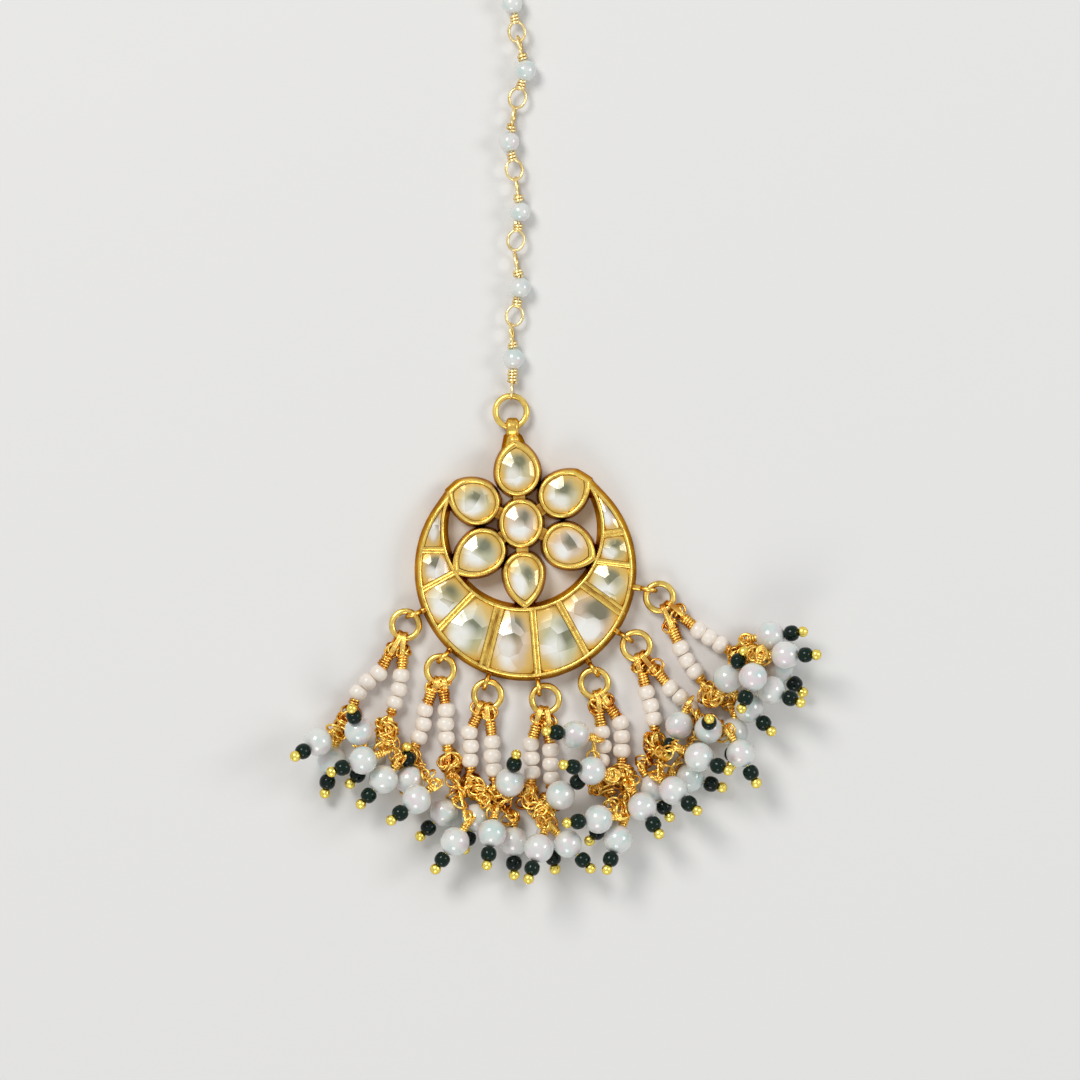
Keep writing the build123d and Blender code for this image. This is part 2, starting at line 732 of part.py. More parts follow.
def chain():
    corners = [(x, y, chain_height) for x, y in chain_route]
    runs = [math.dist(a, b) for a, b in zip(corners[:-1], corners[1:])]
    radii = []
    for index in range(1, len(corners) - 1):
        before = Vector(*corners[index]) - Vector(*corners[index - 1])
        after = Vector(*corners[index + 1]) - Vector(*corners[index])
        half_turn = math.radians(before.get_angle(after)) / 2
        radii.append(0.45 * min(runs[index - 1], runs[index]) / math.tan(half_turn))
    print("chain bend radii", [round(radius, 1) for radius in radii])
    start = step_along(chain_route[0], heading(chain_route[0], chain_route[1]), chain_loop_major)
    end = step_along(chain_route[-1], heading(chain_route[-1], chain_route[-2]), chain_loop_major)
    path = FilletPolyline((*start, chain_height), *corners[1:-1], (*end, chain_height), radius=radii)
    section = Plane(origin=path @ 0, z_dir=path % 0) * Circle(chain_tube)
    shape = sweep(section, path=path)
    print("chain tube volume", round(shape.volume, 2), "expected", round(path.length * section.area, 2))
    for x, y, z in corners[1:-1:2]:
        shape += Pos(x, y, z) * Sphere(chain_pearl_radius)
    for point, beyond in ((chain_route[0], chain_route[1]), (chain_route[-1], chain_route[-2])):
        inward = heading(point, beyond)
        far = step_along(point, inward, round_eye_run)
        shape += wire_eye(point, far, chain_height - chain_loop_drop, chain_loop_major, chain_loop_wire)
    return shape


# A plain open hook that slides into the hair, lying down towards its bend.
def hair_hook():
    foot = (0, hook_eye_major)
    top = (0, hook_eye_major + hook_shank)
    crest = (hook_bend, top[1] + hook_bend)
    bend_end = polar(hook_flare, hook_bend, (hook_bend, top[1]))
    tip = polar(hook_flare - 90, hook_return, bend_end)
    route = Line(foot, top) + ThreePointArc(top, crest, bend_end) + Line(bend_end, tip)
    section = Plane(origin=(*foot, 0), z_dir=(0, 1, 0)) * Circle(hook_wire)
    wire = sweep(section, path=route)
    eye = Torus(hook_eye_major, hook_eye_wire)
    along = (*heading(bend_end, tip), 0)
    ball = rounded_bead((*tip, 0), along, hook_tip_radius, hook_tip_length, hook_tip_rounding)
    x, y = chain_route[-1]
    place = Pos(x, y + hook_eye_major + hook_eye_slack, hook_eye_height) * Rot(hook_tilt, 0, 0)
    return place * joined([wire, eye, ball])


def top_ring():
    return Pos(*top_ring_centre) * Rot(top_ring_tilt, 0, 0) * Torus(top_ring_major, top_ring_wire)


def main():
    os.makedirs("parts", exist_ok=True)
    save(pendant_frame(), "pendant_frame")
    for number, cell in enumerate(crescent_cells(), start=1):
        save(crescent_stone(cell), f"crescent_stone_{number:02d}")
    for petal in petals:
        save(petal_stone(petal), f"petal_stone_{petal[0]}")
    save(oval_stone(), "centre_stone")
    save(top_ring(), "top_ring")
    for index in range(len(fringe)):
        ring = Pos(*ring_centre(index), ring_height) * Torus(ring_major, ring_wire)
        save(ring, f"fringe_ring_{index + 1}")
    placed = lay_drops()
    for row in strands:
        save(bead_strand(row), f"bead_strand_{row[0]}")
        save(pearl_cluster(row, placed[row[0]]), f"pearl_cluster_{row[0]}")
    heights = [round(at["pearl"][2], 1) for key in placed for at in placed[key]]
    print("pearl heights", sorted(heights))
    save(chain(), "chain")
    save(hair_hook(), "hair_hook")


main()
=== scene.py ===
import math
import random
import bpy
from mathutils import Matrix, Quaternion, Vector


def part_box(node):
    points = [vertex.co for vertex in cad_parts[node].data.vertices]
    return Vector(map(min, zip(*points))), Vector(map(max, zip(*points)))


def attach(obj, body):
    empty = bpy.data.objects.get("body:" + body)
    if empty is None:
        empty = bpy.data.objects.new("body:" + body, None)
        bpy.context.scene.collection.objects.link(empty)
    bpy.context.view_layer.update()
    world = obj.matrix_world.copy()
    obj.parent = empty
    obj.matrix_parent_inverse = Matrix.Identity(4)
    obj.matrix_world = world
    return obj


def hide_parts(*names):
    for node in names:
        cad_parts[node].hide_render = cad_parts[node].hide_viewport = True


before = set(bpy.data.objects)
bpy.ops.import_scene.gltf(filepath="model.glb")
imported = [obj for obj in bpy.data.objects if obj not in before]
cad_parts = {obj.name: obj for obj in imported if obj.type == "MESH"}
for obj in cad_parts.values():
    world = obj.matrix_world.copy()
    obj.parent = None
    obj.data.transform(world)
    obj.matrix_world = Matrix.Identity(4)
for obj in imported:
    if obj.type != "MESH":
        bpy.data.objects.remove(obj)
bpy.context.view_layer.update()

# A maang tikka lying on its back. Blender works in metres. The view and the
# object's own tables are in millimetres, as a jeweller would measure them.
mm = 0.001

# where the random draws of each kind of piece start
draws = {
    "stone": 40, "strand": 100, "cluster": 500, "chain": 9,
    "seedBead": 0, "pearl": 20, "darkBead": 40, "pinBall": 60, "chainPearl": 7,
}

viewSettings = {
    "centre": (1.96, 4.05), "across": 146.0, "distance": 900.0, "nearest": 10.0, "sensor": 36.0,
}

floorSettings = {"size": 3.0, "colour": (0.86, 0.855, 0.84, 1.0), "roughness": 0.65, "shine": 0.2}

lampSettings = [
    # name        place (m)              size   power  colour
    ("keyLamp",  (-0.34, 0.42, 0.66),    0.34,  3.3,   (1.0, 0.985, 0.96)),
    ("sideLamp", (0.55, 0.10, 0.42),     0.26,  1.1,   (0.96, 0.98, 1.0)),
    ("lowLamp",  (-0.10, -0.60, 0.40),   0.30,  1.1,   (1.0, 0.99, 0.97)),
]

worldSettings = {"colour": (0.90, 0.91, 0.93, 1.0), "strength": 0.36, "seen": 0.75}


def addNode(tree, kind, **settings):
    node = tree.nodes.new(kind)
    for key, value in settings.items():
        setattr(node, key, value)
    return node


def addMath(tree, operation, first, second, clamp=False):
    node = addNode(tree, "ShaderNodeMath", operation=operation, use_clamp=clamp)
    for index, value in enumerate((first, second)):
        if isinstance(value, (int, float)):
            node.inputs[index].default_value = value
        else:
            tree.links.new(value, node.inputs[index])
    return node.outputs[0]


def addCamera():
    data = bpy.data.cameras.new("viewCamera")
    data.sensor_width = viewSettings["sensor"]
    data.lens = viewSettings["sensor"] * viewSettings["distance"] / viewSettings["across"]
    data.clip_start = viewSettings["nearest"] * mm
    camera = bpy.data.objects.new("viewCamera", data)
    x, y = viewSettings["centre"]
    camera.location = (x * mm, y * mm, viewSettings["distance"] * mm)
    bpy.context.scene.collection.objects.link(camera)
    bpy.context.scene.camera = camera


def addLamps():
    for name, place, size, power, colour in lampSettings:
        data = bpy.data.lights.new(name, "AREA")
        data.shape = "DISK"
        data.size = size
        data.energy = power
        data.color = colour
        lamp = bpy.data.objects.new(name, data)
        lamp.location = place
        lamp.rotation_euler = (-Vector(place)).to_track_quat("-Z", "Y").to_euler()
        bpy.context.scene.collection.objects.link(lamp)


# The room: pale where it is seen, directly or in metal and glass, plainer where it lights.
def setWorld():
    world = bpy.data.worlds.new("studio")
    world.use_nodes = True
    bpy.context.scene.world = world
    tree = world.node_tree
    background = tree.nodes["Background"]
    background.inputs["Color"].default_value = worldSettings["colour"]
    rays = addNode(tree, "ShaderNodeLightPath")
    seen = addMath(tree, "MAXIMUM", rays.outputs["Is Camera Ray"], rays.outputs["Is Glossy Ray"])
    seen = addMath(tree, "MAXIMUM", seen, rays.outputs["Is Transmission Ray"])
    strength = addNode(tree, "ShaderNodeMix")
    strength.inputs[2].default_value = worldSettings["strength"]
    strength.inputs[3].default_value = worldSettings["seen"]
    tree.links.new(seen, strength.inputs[0])
    tree.links.new(strength.outputs[0], background.inputs["Strength"])


def addFloor():
    half = floorSettings["size"] / 2
    mesh = bpy.data.meshes.new("floor")
    corners = [(-half, -half, 0), (half, -half, 0), (half, half, 0), (-half, half, 0)]
    mesh.from_pydata(corners, [], [(0, 1, 2, 3)])
    floor = bpy.data.objects.new("floor", mesh)
    bpy.context.scene.collection.objects.link(floor)
    material = bpy.data.materials.new("paleFloor")
    material.use_nodes = True
    shader = material.node_tree.nodes["Principled BSDF"]
    shader.inputs["Base Color"].default_value = floorSettings["colour"]
    shader.inputs["Roughness"].default_value = floorSettings["roughness"]
    shader.inputs["Specular IOR Level"].default_value = floorSettings["shine"]
    mesh.materials.append(material)


addCamera()
addLamps()
setWorld()
addFloor()
bpy.context.scene.view_settings.view_transform = "Standard"
print("camera, lamps and floor are set")


def startGroup(name, inputs, outputs):
    group = bpy.data.node_groups.new(name, "ShaderNodeTree")
    for label, kind, value in inputs:
        socket = group.interface.new_socket(label, in_out="INPUT", socket_type=kind)
        if value is not None:
            socket.default_value = value
    for label, kind in outputs:
        group.interface.new_socket(label, in_out="OUTPUT", socket_type=kind)
    return group, group.nodes.new("NodeGroupInput"), group.nodes.new("NodeGroupOutput")


def addNoise(tree, scale, detail):
    place = addNode(tree, "ShaderNodeTexCoord")
    noise = addNode(tree, "ShaderNodeTexNoise")
    noise.inputs["Detail"].default_value = detail
    tree.links.new(place.outputs["Object"], noise.inputs["Vector"])
    if isinstance(scale, (int, float)):
        noise.inputs["Scale"].default_value = scale
    else:
        tree.links.new(scale, noise.inputs["Scale"])
    return noise


def addMix(tree, mask, low, high):
    node = addNode(tree, "ShaderNodeMix", data_type="RGBA")
    tree.links.new(mask, node.inputs[0])
    for index, value in ((6, low), (7, high)):
        if isinstance(value, tuple):
            node.inputs[index].default_value = value
        else:
            tree.links.new(value, node.inputs[index])
    return node.outputs[2]


heightBlendSettings = {"detail": 4.0, "contrast": 3.0}


# Colour by height: a bright colour on top and a deep one near the floor, with random patches of tone. On the
# gold, seed beads and dark beads the deep colour is painted shade low down; on a stone it is the foil at the
# low edge.
def makeHeightBlendGroup():
    group, start, end = startGroup(
        "heightBlend",
        [("Bright", "NodeSocketColor", None), ("Deep", "NodeSocketColor", None),
         ("Low Height", "NodeSocketFloat", 0.001), ("High Height", "NodeSocketFloat", 0.003),
         ("Patch Scale", "NodeSocketFloat", 700.0), ("Patchiness", "NodeSocketFloat", 0.5)],
        [("Color", "NodeSocketColor")],
    )
    place = addNode(group, "ShaderNodeTexCoord")
    split = addNode(group, "ShaderNodeSeparateXYZ")
    group.links.new(place.outputs["Object"], split.inputs[0])
    reach = addNode(group, "ShaderNodeMapRange")
    group.links.new(split.outputs["Z"], reach.inputs["Value"])
    group.links.new(start.outputs["Low Height"], reach.inputs["From Min"])
    group.links.new(start.outputs["High Height"], reach.inputs["From Max"])
    noise = addNoise(group, start.outputs["Patch Scale"], heightBlendSettings["detail"])
    patch = addMath(group, "SUBTRACT", noise.outputs["Fac"], 0.5)
    patch = addMath(group, "MULTIPLY", patch, start.outputs["Patchiness"])
    patch = addMath(group, "MULTIPLY", patch, heightBlendSettings["contrast"])
    # height share: the deep colour (painted shade on gold and beads) below, the bright colour above
    mask = addMath(group, "ADD", reach.outputs["Result"], patch, clamp=True)
    colour = addMix(group, mask, start.outputs["Deep"], start.outputs["Bright"])
    group.links.new(colour, end.inputs["Color"])
    return group


grainSettings = {"detail": 3.0, "fineShare": 0.3}


# Fine unevenness of a plated or moulded surface, as a height and a roughness.
def makeGrainGroup():
    group, start, end = startGroup(
        "grain",
        [("Fine Scale", "NodeSocketFloat", 3000.0), ("Broad Scale", "NodeSocketFloat", 500.0),
         ("Smoothest", "NodeSocketFloat", 0.15), ("Roughest", "NodeSocketFloat", 0.35)],
        [("Height", "NodeSocketFloat"), ("Roughness", "NodeSocketFloat")],
    )
    fine = addNoise(group, start.outputs["Fine Scale"], grainSettings["detail"])
    broad = addNoise(group, start.outputs["Broad Scale"], grainSettings["detail"])
    height = addMath(group, "MULTIPLY", fine.outputs["Fac"], grainSettings["fineShare"])
    height = addMath(group, "ADD", height, broad.outputs["Fac"])
    span = addMath(group, "SUBTRACT", start.outputs["Roughest"], start.outputs["Smoothest"])
    rough = addMath(group, "MULTIPLY", broad.outputs["Fac"], span)
    rough = addMath(group, "ADD", rough, start.outputs["Smoothest"])
    group.links.new(height, end.inputs["Height"])
    group.links.new(rough, end.inputs["Roughness"])
    return group


heightBlendGroup = makeHeightBlendGroup()
grainGroup = makeGrainGroup()


def startMaterial(name):
    material = bpy.data.materials.new(name)
    material.use_nodes = True
    return material, material.node_tree, material.node_tree.nodes["Principled BSDF"]


def placeGroup(tree, group, values):
    node = addNode(tree, "ShaderNodeGroup", node_tree=group)
    for label, value in values.items():
        node.inputs[label].default_value = value
    return node


def addGrain(tree, shader, settings):
    grain = placeGroup(tree, grainGroup, settings["grain"])
    bump = addNode(tree, "ShaderNodeBump")
    bump.inputs["Strength"].default_value = settings["bump"]
    bump.inputs["Distance"].default_value = settings["bumpDepth"]
    tree.links.new(grain.outputs["Height"], bump.inputs["Height"])
    tree.links.new(bump.outputs["Normal"], shader.inputs["Normal"])
    tree.links.new(grain.outputs["Roughness"], shader.inputs["Roughness"])


# Colours are linear. Heights are in metres, and patches are counted per metre.
# The deep colour is painted shade on the low, steep sides of the gold; the bright one is the gold's own
# colour, and the patches are random tone.
goldSettings = {
    # name        bright                     deep                      low     high    patch  patchiness
    "frameGold": ((0.97, 0.66, 0.15, 1.0), (0.38, 0.15, 0.012, 1.0), 0.0010, 0.0030, 620.0, 0.80),
    "rimGold":   ((0.98, 0.70, 0.17, 1.0), (0.36, 0.16, 0.015, 1.0), 0.0023, 0.0031, 1000.0, 1.05),
    "ringGold":  ((0.98, 0.70, 0.18, 1.0), (0.33, 0.17, 0.014, 1.0), 0.0003, 0.0017, 800.0, 0.80),
    "chainGold": ((1.00, 0.82, 0.42, 1.0), (0.60, 0.40, 0.11, 1.0),  0.0004, 0.0020, 800.0, 0.60),
    "wireGold":  ((1.00, 0.68, 0.17, 1.0), (0.56, 0.17, 0.012, 1.0), 0.0002, 0.0026, 520.0, 0.95),
    "ballGold":  ((1.00, 0.80, 0.18, 1.0), (0.66, 0.40, 0.04, 1.0),  0.0003, 0.0016, 900.0, 0.50),
}

goldFinish = {
    "edge": (0.78, 0.50, 0.12, 1.0),
    "grain": {"Fine Scale": 4200.0, "Broad Scale": 900.0, "Smoothest": 0.10, "Roughest": 0.40},
    "bump": 0.45, "bumpDepth": 0.00009,
}


def makeGold(name):
    bright, deep, low, high, patch, patchiness = goldSettings[name]
    material, tree, shader = startMaterial(name)
    # painted shade: the deep colour low down, the gold's own bright colour on top
    heightBlend = placeGroup(tree, heightBlendGroup, {
        "Bright": bright, "Deep": deep, "Low Height": low, "High Height": high,
        "Patch Scale": patch, "Patchiness": patchiness,
    })
    tree.links.new(heightBlend.outputs["Color"], shader.inputs["Base Color"])
    shader.inputs["Metallic"].default_value = 1.0
    shader.inputs["Specular Tint"].default_value = goldFinish["edge"]  # keeps steep sides golden
    addGrain(tree, shader, goldFinish)
    return material


stoneSettings = {
    "facetScale": 380.0, "ripple": 0.46, "rippleScale": 330.0, "rippleDetail": 1.5, "facetShare": 0.75,
    # a painted highlight pool (white, lower left) and a painted shade pool (dark tint) stand in for the lamp
    # reflection and the shaded table
    "paintedHighlight": (-0.26, -0.34, 0.0), "paintedHighlightNear": 0.20, "paintedHighlightFar": 0.80,
    "shade": (0.14, 0.36, 0.0), "shadeNear": 0.0, "shadeFar": 0.74, "shadeShare": 0.85,
    "edgeNear": 0.50, "edgeFar": 1.06, "edgeShare": 0.85, "wander": 0.16,
    "white": (1.0, 1.0, 0.95, 1.0), "paintedShadeTint": (0.11, 0.125, 0.065, 1.0), "foil": (0.80, 0.50, 0.07, 1.0),
    "foilLow": 0.00258, "foilHigh": 0.00292, "patchScale": 600.0, "patchiness": 0.12,
    "metallic": 0.15, "roughness": 0.20, "coat": 0.7, "coatRoughness": 0.03,
    "bump": 0.3, "bumpDepth": 0.0004,
}

# the glass colours that the stones share out among them
stoneTints = [
    ((0.66, 0.56, 0.26, 1.0), (0.86, 0.79, 0.52, 1.0)),
    ((0.70, 0.52, 0.22, 1.0), (0.88, 0.74, 0.46, 1.0)),
    ((0.60, 0.57, 0.30, 1.0), (0.82, 0.80, 0.56, 1.0)),
    ((0.76, 0.56, 0.38, 1.0), (0.90, 0.76, 0.62, 1.0)),
]


# How near a place is to a spot: 1 at the spot, 0 far from it.
def addNearness(tree, place, spot, near, far):
    run = addNode(tree, "ShaderNodeVectorMath", operation="DISTANCE")
    tree.links.new(place, run.inputs[0])
    tree.links.new(spot, run.inputs[1])
    fall = addNode(tree, "ShaderNodeMapRange", interpolation_type="SMOOTHSTEP")
    fall.inputs["From Min"].default_value = near
    fall.inputs["From Max"].default_value = far
    fall.inputs["To Min"].default_value = 1.0
    fall.inputs["To Max"].default_value = 0.0
    tree.links.new(run.outputs["Value"], fall.inputs["Value"])
    return fall.outputs["Result"]


# Cut glass over foil: a painted highlight pool, a painted shade pool, broad facets and a gold edge.
def makeFoilGroup():
    group, start, end = startGroup(
        "foil",
        [("Place", "NodeSocketVector", None), ("Painted Highlight", "NodeSocketVector", None),
         ("Shade", "NodeSocketVector", None), ("Middle", "NodeSocketVector", None),
         ("Dark Glass", "NodeSocketColor", None), ("Pale Glass", "NodeSocketColor", None)],
        [("Color", "NodeSocketColor"), ("Height", "NodeSocketFloat")],
    )
    place = addNode(group, "ShaderNodeTexCoord")
    ripple = addNoise(group, stoneSettings["rippleScale"], stoneSettings["rippleDetail"])
    shift = addNode(group, "ShaderNodeVectorMath", operation="MULTIPLY_ADD")
    shift.inputs[1].default_value = (stoneSettings["ripple"],) * 3
    group.links.new(ripple.outputs["Color"], shift.inputs[0])
    balance = addNode(group, "ShaderNodeVectorMath", operation="SUBTRACT")  # ripples both ways alike
    balance.inputs[1].default_value = (stoneSettings["ripple"] / 2,) * 3
    group.links.new(start.outputs["Place"], balance.inputs[0])
    group.links.new(balance.outputs["Vector"], shift.inputs[2])
    facets = addNode(group, "ShaderNodeTexVoronoi")
    facets.inputs["Scale"].default_value = stoneSettings["facetScale"]
    group.links.new(place.outputs["Object"], facets.inputs["Vector"])
    split = addNode(group, "ShaderNodeSeparateColor")
    group.links.new(facets.outputs["Color"], split.inputs[0])
    warped = shift.outputs["Vector"]
    masks = []
    for spot, key in (("Painted Highlight", "paintedHighlight"), ("Shade", "shade"), ("Middle", "edge")):
        near, far = stoneSettings[key + "Near"], stoneSettings[key + "Far"]
        masks.append(addNearness(group, warped, start.outputs[spot], near, far))
    paintedHighlight, shade, inside = masks
    lean = addMath(group, "SUBTRACT", split.outputs[0], 0.5)
    lean = addMath(group, "MULTIPLY", lean, stoneSettings["facetShare"])
    paintedHighlight = addMath(group, "ADD", paintedHighlight, lean, clamp=True)
    shade = addMath(group, "SUBTRACT", shade, lean, clamp=True)
    shade = addMath(group, "MULTIPLY", shade, stoneSettings["shadeShare"])
    colour = addMix(group, split.outputs[1], start.outputs["Dark Glass"], start.outputs["Pale Glass"])
    # the painted shade pool darkens the glass, then the painted highlight pool whitens it
    colour = addMix(group, shade, colour, stoneSettings["paintedShadeTint"])
    colour = addMix(group, paintedHighlight, colour, stoneSettings["white"])
    rim = addMath(group, "SUBTRACT", 1.0, inside)
    rim = addMath(group, "MULTIPLY", rim, stoneSettings["edgeShare"])
    colour = addMix(group, rim, colour, stoneSettings["foil"])
    group.links.new(colour, end.inputs["Color"])
    group.links.new(facets.outputs["Distance"], end.inputs["Height"])
    return group


foilGroup = makeFoilGroup()


# One stone's glass, centred on the stone.
def makeStone(node, number):
    low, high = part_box(node)
    half = [(high[k] - low[k]) / 2 for k in range(2)]
    dice = random.Random(draws["stone"] + number)
    material, tree, shader = startMaterial("glass_" + node)
    place = addNode(tree, "ShaderNodeTexCoord")
    centred = addNode(tree, "ShaderNodeMapping")
    middle = [low[k] + half[k] for k in range(2)]
    centred.inputs["Scale"].default_value = (1 / half[0], 1 / half[1], 0.0)
    centred.inputs["Location"].default_value = (-middle[0] / half[0], -middle[1] / half[1], 0.0)
    tree.links.new(place.outputs["Object"], centred.inputs["Vector"])
    wander = stoneSettings["wander"]
    # where this stone's painted highlight and painted shade pools sit, moved a little at random
    spots = {}
    for label, key in (("Painted Highlight", "paintedHighlight"), ("Shade", "shade")):
        x, y, z = stoneSettings[key]
        spots[label] = (x + dice.uniform(-wander, wander), y + dice.uniform(-wander, wander), z)
    dark, pale = dice.choice(stoneTints)
    foil = placeGroup(tree, foilGroup, {**spots, "Dark Glass": dark, "Pale Glass": pale})
    tree.links.new(centred.outputs["Vector"], foil.inputs["Place"])
    heightBlend = placeGroup(tree, heightBlendGroup, {
        "Deep": stoneSettings["foil"], "Low Height": stoneSettings["foilLow"],
        "High Height": stoneSettings["foilHigh"], "Patch Scale": stoneSettings["patchScale"],
        "Patchiness": stoneSettings["patchiness"],
    })
    tree.links.new(foil.outputs["Color"], heightBlend.inputs["Bright"])
    tree.links.new(heightBlend.outputs["Color"], shader.inputs["Base Color"])
    for label, key in (("Metallic", "metallic"), ("Roughness", "roughness"), ("Coat Weight", "coat"),
                       ("Coat Roughness", "coatRoughness")):
        shader.inputs[label].default_value = stoneSettings[key]
    bump = addNode(tree, "ShaderNodeBump")
    bump.inputs["Strength"].default_value = stoneSettings["bump"]
    bump.inputs["Distance"].default_value = stoneSettings["bumpDepth"]
    tree.links.new(foil.outputs["Height"], bump.inputs["Height"])
    tree.links.new(bump.outputs["Normal"], shader.inputs["Normal"])
    return material


pearlSettings = {
    "white": (0.80, 0.82, 0.78, 1.0), "cool": (0.60, 0.75, 0.72, 1.0), "rose": (0.82, 0.72, 0.74, 1.0),
    "scale": 420.0, "detail": 2.0, "distortion": 0.8, "hueFrom": 0.48, "hueTo": 0.68,
    "coat": 0.8, "coatRoughness": 0.08, "shine": 0.7,
    "grain": {"Fine Scale": 2600.0, "Broad Scale": 1100.0, "Smoothest": 0.16, "Roughest": 0.30},
    "bump": 0.3, "bumpDepth": 0.00012,
}


def makePearl():
    material, tree, shader = startMaterial("pearlCoat")
    drift = addNoise(tree, pearlSettings["scale"], pearlSettings["detail"])
    drift.inputs["Distortion"].default_value = pearlSettings["distortion"]
    split = addNode(tree, "ShaderNodeSeparateColor")
    tree.links.new(drift.outputs["Color"], split.inputs[0])
    masks = []
    for channel in (0, 1):
        sharp = addNode(tree, "ShaderNodeMapRange")
        sharp.inputs["From Min"].default_value = pearlSettings["hueFrom"]
        sharp.inputs["From Max"].default_value = pearlSettings["hueTo"]
        tree.links.new(split.outputs[channel], sharp.inputs["Value"])
        masks.append(sharp.outputs["Result"])
    colour = addMix(tree, masks[0], pearlSettings["white"], pearlSettings["cool"])
    colour = addMix(tree, masks[1], colour, pearlSettings["rose"])
    tree.links.new(colour, shader.inputs["Base Color"])
    shader.inputs["Coat Weight"].default_value = pearlSettings["coat"]
    shader.inputs["Coat Roughness"].default_value = pearlSettings["coatRoughness"]
    shader.inputs["Specular IOR Level"].default_value = pearlSettings["shine"]
    addGrain(tree, shader, pearlSettings)
    return material


seedSettings = {
    # pale on top; the warm pink low down is painted shade
    "pale": (0.97, 0.89, 0.79, 1.0), "warm": (0.94, 0.74, 0.63, 1.0),
    "low": 0.0002, "high": 0.0016, "patch": 500.0, "patchiness": 0.5, "coat": 0.4, "coatRoughness": 0.12,
    "grain": {"Fine Scale": 3500.0, "Broad Scale": 900.0, "Smoothest": 0.22, "Roughest": 0.42},
    "bump": 0.25, "bumpDepth": 0.0001,
}


def makeSeed():
    material, tree, shader = startMaterial("creamSeed")
    # painted shade: the warm colour low on each bead, the pale colour on top
    heightBlend = placeGroup(tree, heightBlendGroup, {
        "Bright": seedSettings["pale"], "Deep": seedSettings["warm"],
        "Low Height": seedSettings["low"], "High Height": seedSettings["high"],
        "Patch Scale": seedSettings["patch"], "Patchiness": seedSettings["patchiness"],
    })
    tree.links.new(heightBlend.outputs["Color"], shader.inputs["Base Color"])
    shader.inputs["Coat Weight"].default_value = seedSettings["coat"]
    shader.inputs["Coat Roughness"].default_value = seedSettings["coatRoughness"]
    addGrain(tree, shader, seedSettings)
    return material


darkSettings = {
    # green is the glass's own tint; the black low down is painted shade
    "black": (0.001, 0.003, 0.003, 1.0), "green": (0.001, 0.014, 0.008, 1.0),
    "low": 0.0005, "high": 0.006, "patch": 450.0, "patchiness": 0.6,
    "shine": 0.12, "coat": 0.35, "coatIor": 1.35, "coatRoughness": 0.03,
    "grain": {"Fine Scale": 2500.0, "Broad Scale": 700.0, "Smoothest": 0.06, "Roughest": 0.16},
    "bump": 0.15, "bumpDepth": 0.00006,
}


def makeDark():
    material, tree, shader = startMaterial("darkGlass")
    # painted shade: black low on each bead, green on top
    heightBlend = placeGroup(tree, heightBlendGroup, {
        "Bright": darkSettings["green"], "Deep": darkSettings["black"],
        "Low Height": darkSettings["low"], "High Height": darkSettings["high"],
        "Patch Scale": darkSettings["patch"], "Patchiness": darkSettings["patchiness"],
    })
    tree.links.new(heightBlend.outputs["Color"], shader.inputs["Base Color"])
    shader.inputs["Specular IOR Level"].default_value = darkSettings["shine"]
    shader.inputs["Coat Weight"].default_value = darkSettings["coat"]
    shader.inputs["Coat IOR"].default_value = darkSettings["coatIor"]
    shader.inputs["Coat Roughness"].default_value = darkSettings["coatRoughness"]
    addGrain(tree, shader, darkSettings)
    return material


materials = {name: makeGold(name) for name in goldSettings}
materials["pearl"] = makePearl()
materials["seed"] = makeSeed()
materials["dark"] = makeDark()
print("materials are mixed:", len(materials))


def paintNode(node, material):
    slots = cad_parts[node].data.materials
    slots.clear()
    slots.append(material)


for number, node in enumerate(sorted(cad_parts)):
    if "stone" in node:
        paintNode(node, makeStone(node, number))
    elif "ring" in node or node == "hair_hook":
        paintNode(node, materials["ringGold"])
    elif node == "pendant_frame":
        paintNode(node, materials["frameGold"])
print("stones, rings, frame and hook are finished")


# The part's own measures, in millimetres and degrees.
flower = {
    "centre": (-0.6, 6.3), "wall": 0.5, "tipWall": 0.95, "ovalHalfWidth": 2.4, "ovalHalfLength": 2.75,
    "shoulderOut": 0.4,
}

petals = [
    # turn   reach  half   tip
    (94.0,   6.7,   2.45,  3.6),
    (154.5,  6.55,  2.5,   3.55),
    (216.0,  6.3,   2.5,   4.05),
    (273.0,  6.6,   2.2,   3.95),
    (334.0,  6.6,   2.5,   3.6),
    (34.8,   6.6,   2.5,   3.75),
]

crescent = {
    "height": 3.0, "rim": 14.45, "pocket": 14.0, "hollowCentre": (-0.4, 5.5),
    "hollowRim": 10.6, "hollowPocket": 11.05,
}

dividers = [
    # outer   inner   width
    (169.3,  195.5,  0.8),
    (191.3,  212.7,  0.8),
    (214.6,  232.9,  0.9),
    (246.9,  253.4,  1.4),
    (276.8,  277.1,  0.9),
    (305.8,  296.0,  0.9),
    (336.1,  317.6,  1.2),
    (362.2,  336.4,  0.7),
    (381.2,  355.9,  0.9),
]

fringe = [
    # angle   reach   swing
    (201.6,  16.2,   232.0),
    (226.6,  16.1,   256.0),
    (250.7,  15.95,  275.0),
    (276.4,  15.95,  300.0),
    (304.5,  16.3,   272.0),
    (326.2,  16.3,   321.0),
    (351.0,  16.8,   325.0),
]

